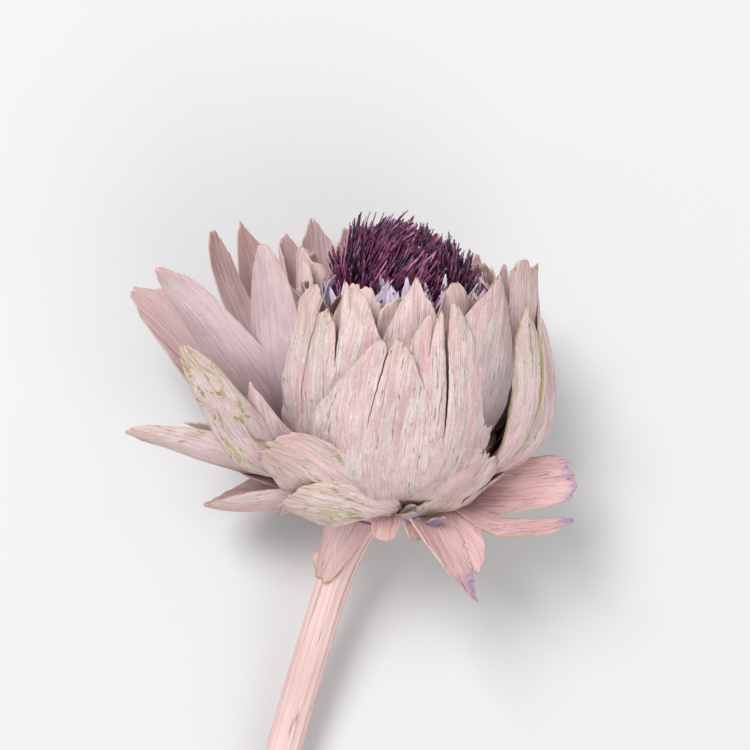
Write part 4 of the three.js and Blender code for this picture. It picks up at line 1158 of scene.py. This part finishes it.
# ---- Stage, light and camera ----
def make_stage():
    size = 1500.0
    points = [(-size, -size, 0), (size, -size, 0), (size, size, 0), (-size, size, 0)]
    floor = mesh_object("floor", points, [(0, 1, 2, 3)], plain_floor(), smooth_faces=False)


def aim(thing, target):
    direction = np.array(target) - np.array(thing.location)
    flat = math.hypot(direction[0], direction[1])
    thing.rotation_euler = (math.atan2(flat, -direction[2]), 0, math.atan2(-direction[0], direction[1]))


SKY_COLOR = (0.97, 0.985, 1.0, 1)
SKY_STRENGTH = 0.58
LAMPS = [  # name, place from the head in metres, size, power
    ("key", (-0.7, 0.75, 1.8), 0.9, 36),
    ("fill", (0.9, -1.5, 1.4), 1.8, 20),
]


def make_light():
    world = bpy.data.worlds.new("studio")
    bpy.context.scene.world = world
    world.use_nodes = True
    background = world.node_tree.nodes["Background"]
    background.inputs[0].default_value = SKY_COLOR
    background.inputs[1].default_value = SKY_STRENGTH
    target = (HEAD_FOOT + 40 * HEAD_AXIS) * MM
    for name, place, size, power in LAMPS:
        data = bpy.data.lights.new(name, "AREA")
        data.size = size
        data.energy = power
        lamp = bpy.data.objects.new(name, data)
        bpy.context.scene.collection.objects.link(lamp)
        lamp.location = tuple(target + np.array(place))
        aim(lamp, target)


# Camera: nearly straight down, 82 degrees above the horizontal, 620 mm from the flower.
CAMERA_RISE = math.radians(82)
CAMERA_AWAY = 620.0
MM_PER_PIXEL = 0.33
FRAME_PIXELS = 750
FOOT_PIXEL = (390, 486)  # where the head's foot shows


def make_camera():
    up = np.array([0, math.sin(CAMERA_RISE), math.cos(CAMERA_RISE)])
    looking = np.array([0, math.cos(CAMERA_RISE), -math.sin(CAMERA_RISE)])
    middle = FRAME_PIXELS / 2
    target = (HEAD_FOOT - np.array([1.0, 0, 0]) * (FOOT_PIXEL[0] - middle) * MM_PER_PIXEL
              + up * (FOOT_PIXEL[1] - middle) * MM_PER_PIXEL)
    data = bpy.data.cameras.new("camera")
    data.sensor_width = 36
    data.lens = CAMERA_AWAY / (MM_PER_PIXEL * FRAME_PIXELS) * data.sensor_width
    camera = bpy.data.objects.new("camera", data)
    bpy.context.scene.collection.objects.link(camera)
    camera.location = tuple((target - looking * CAMERA_AWAY) * MM)
    camera.rotation_euler = (math.pi / 2 - CAMERA_RISE, 0, 0)
    bpy.context.scene.camera = camera


make_camera()
make_stage()
make_light()
bract_paint = painted_bract()
make_bracts(bract_paint)
make_receptacle(receptacle_skin())
make_inner_scales(inner_scale())
make_florets(floret(), floret_shadow())
make_chaff(papery_chaff())
make_stem(stem_skin(), bract_paint)
bpy.context.scene.view_settings.view_transform = "Standard"
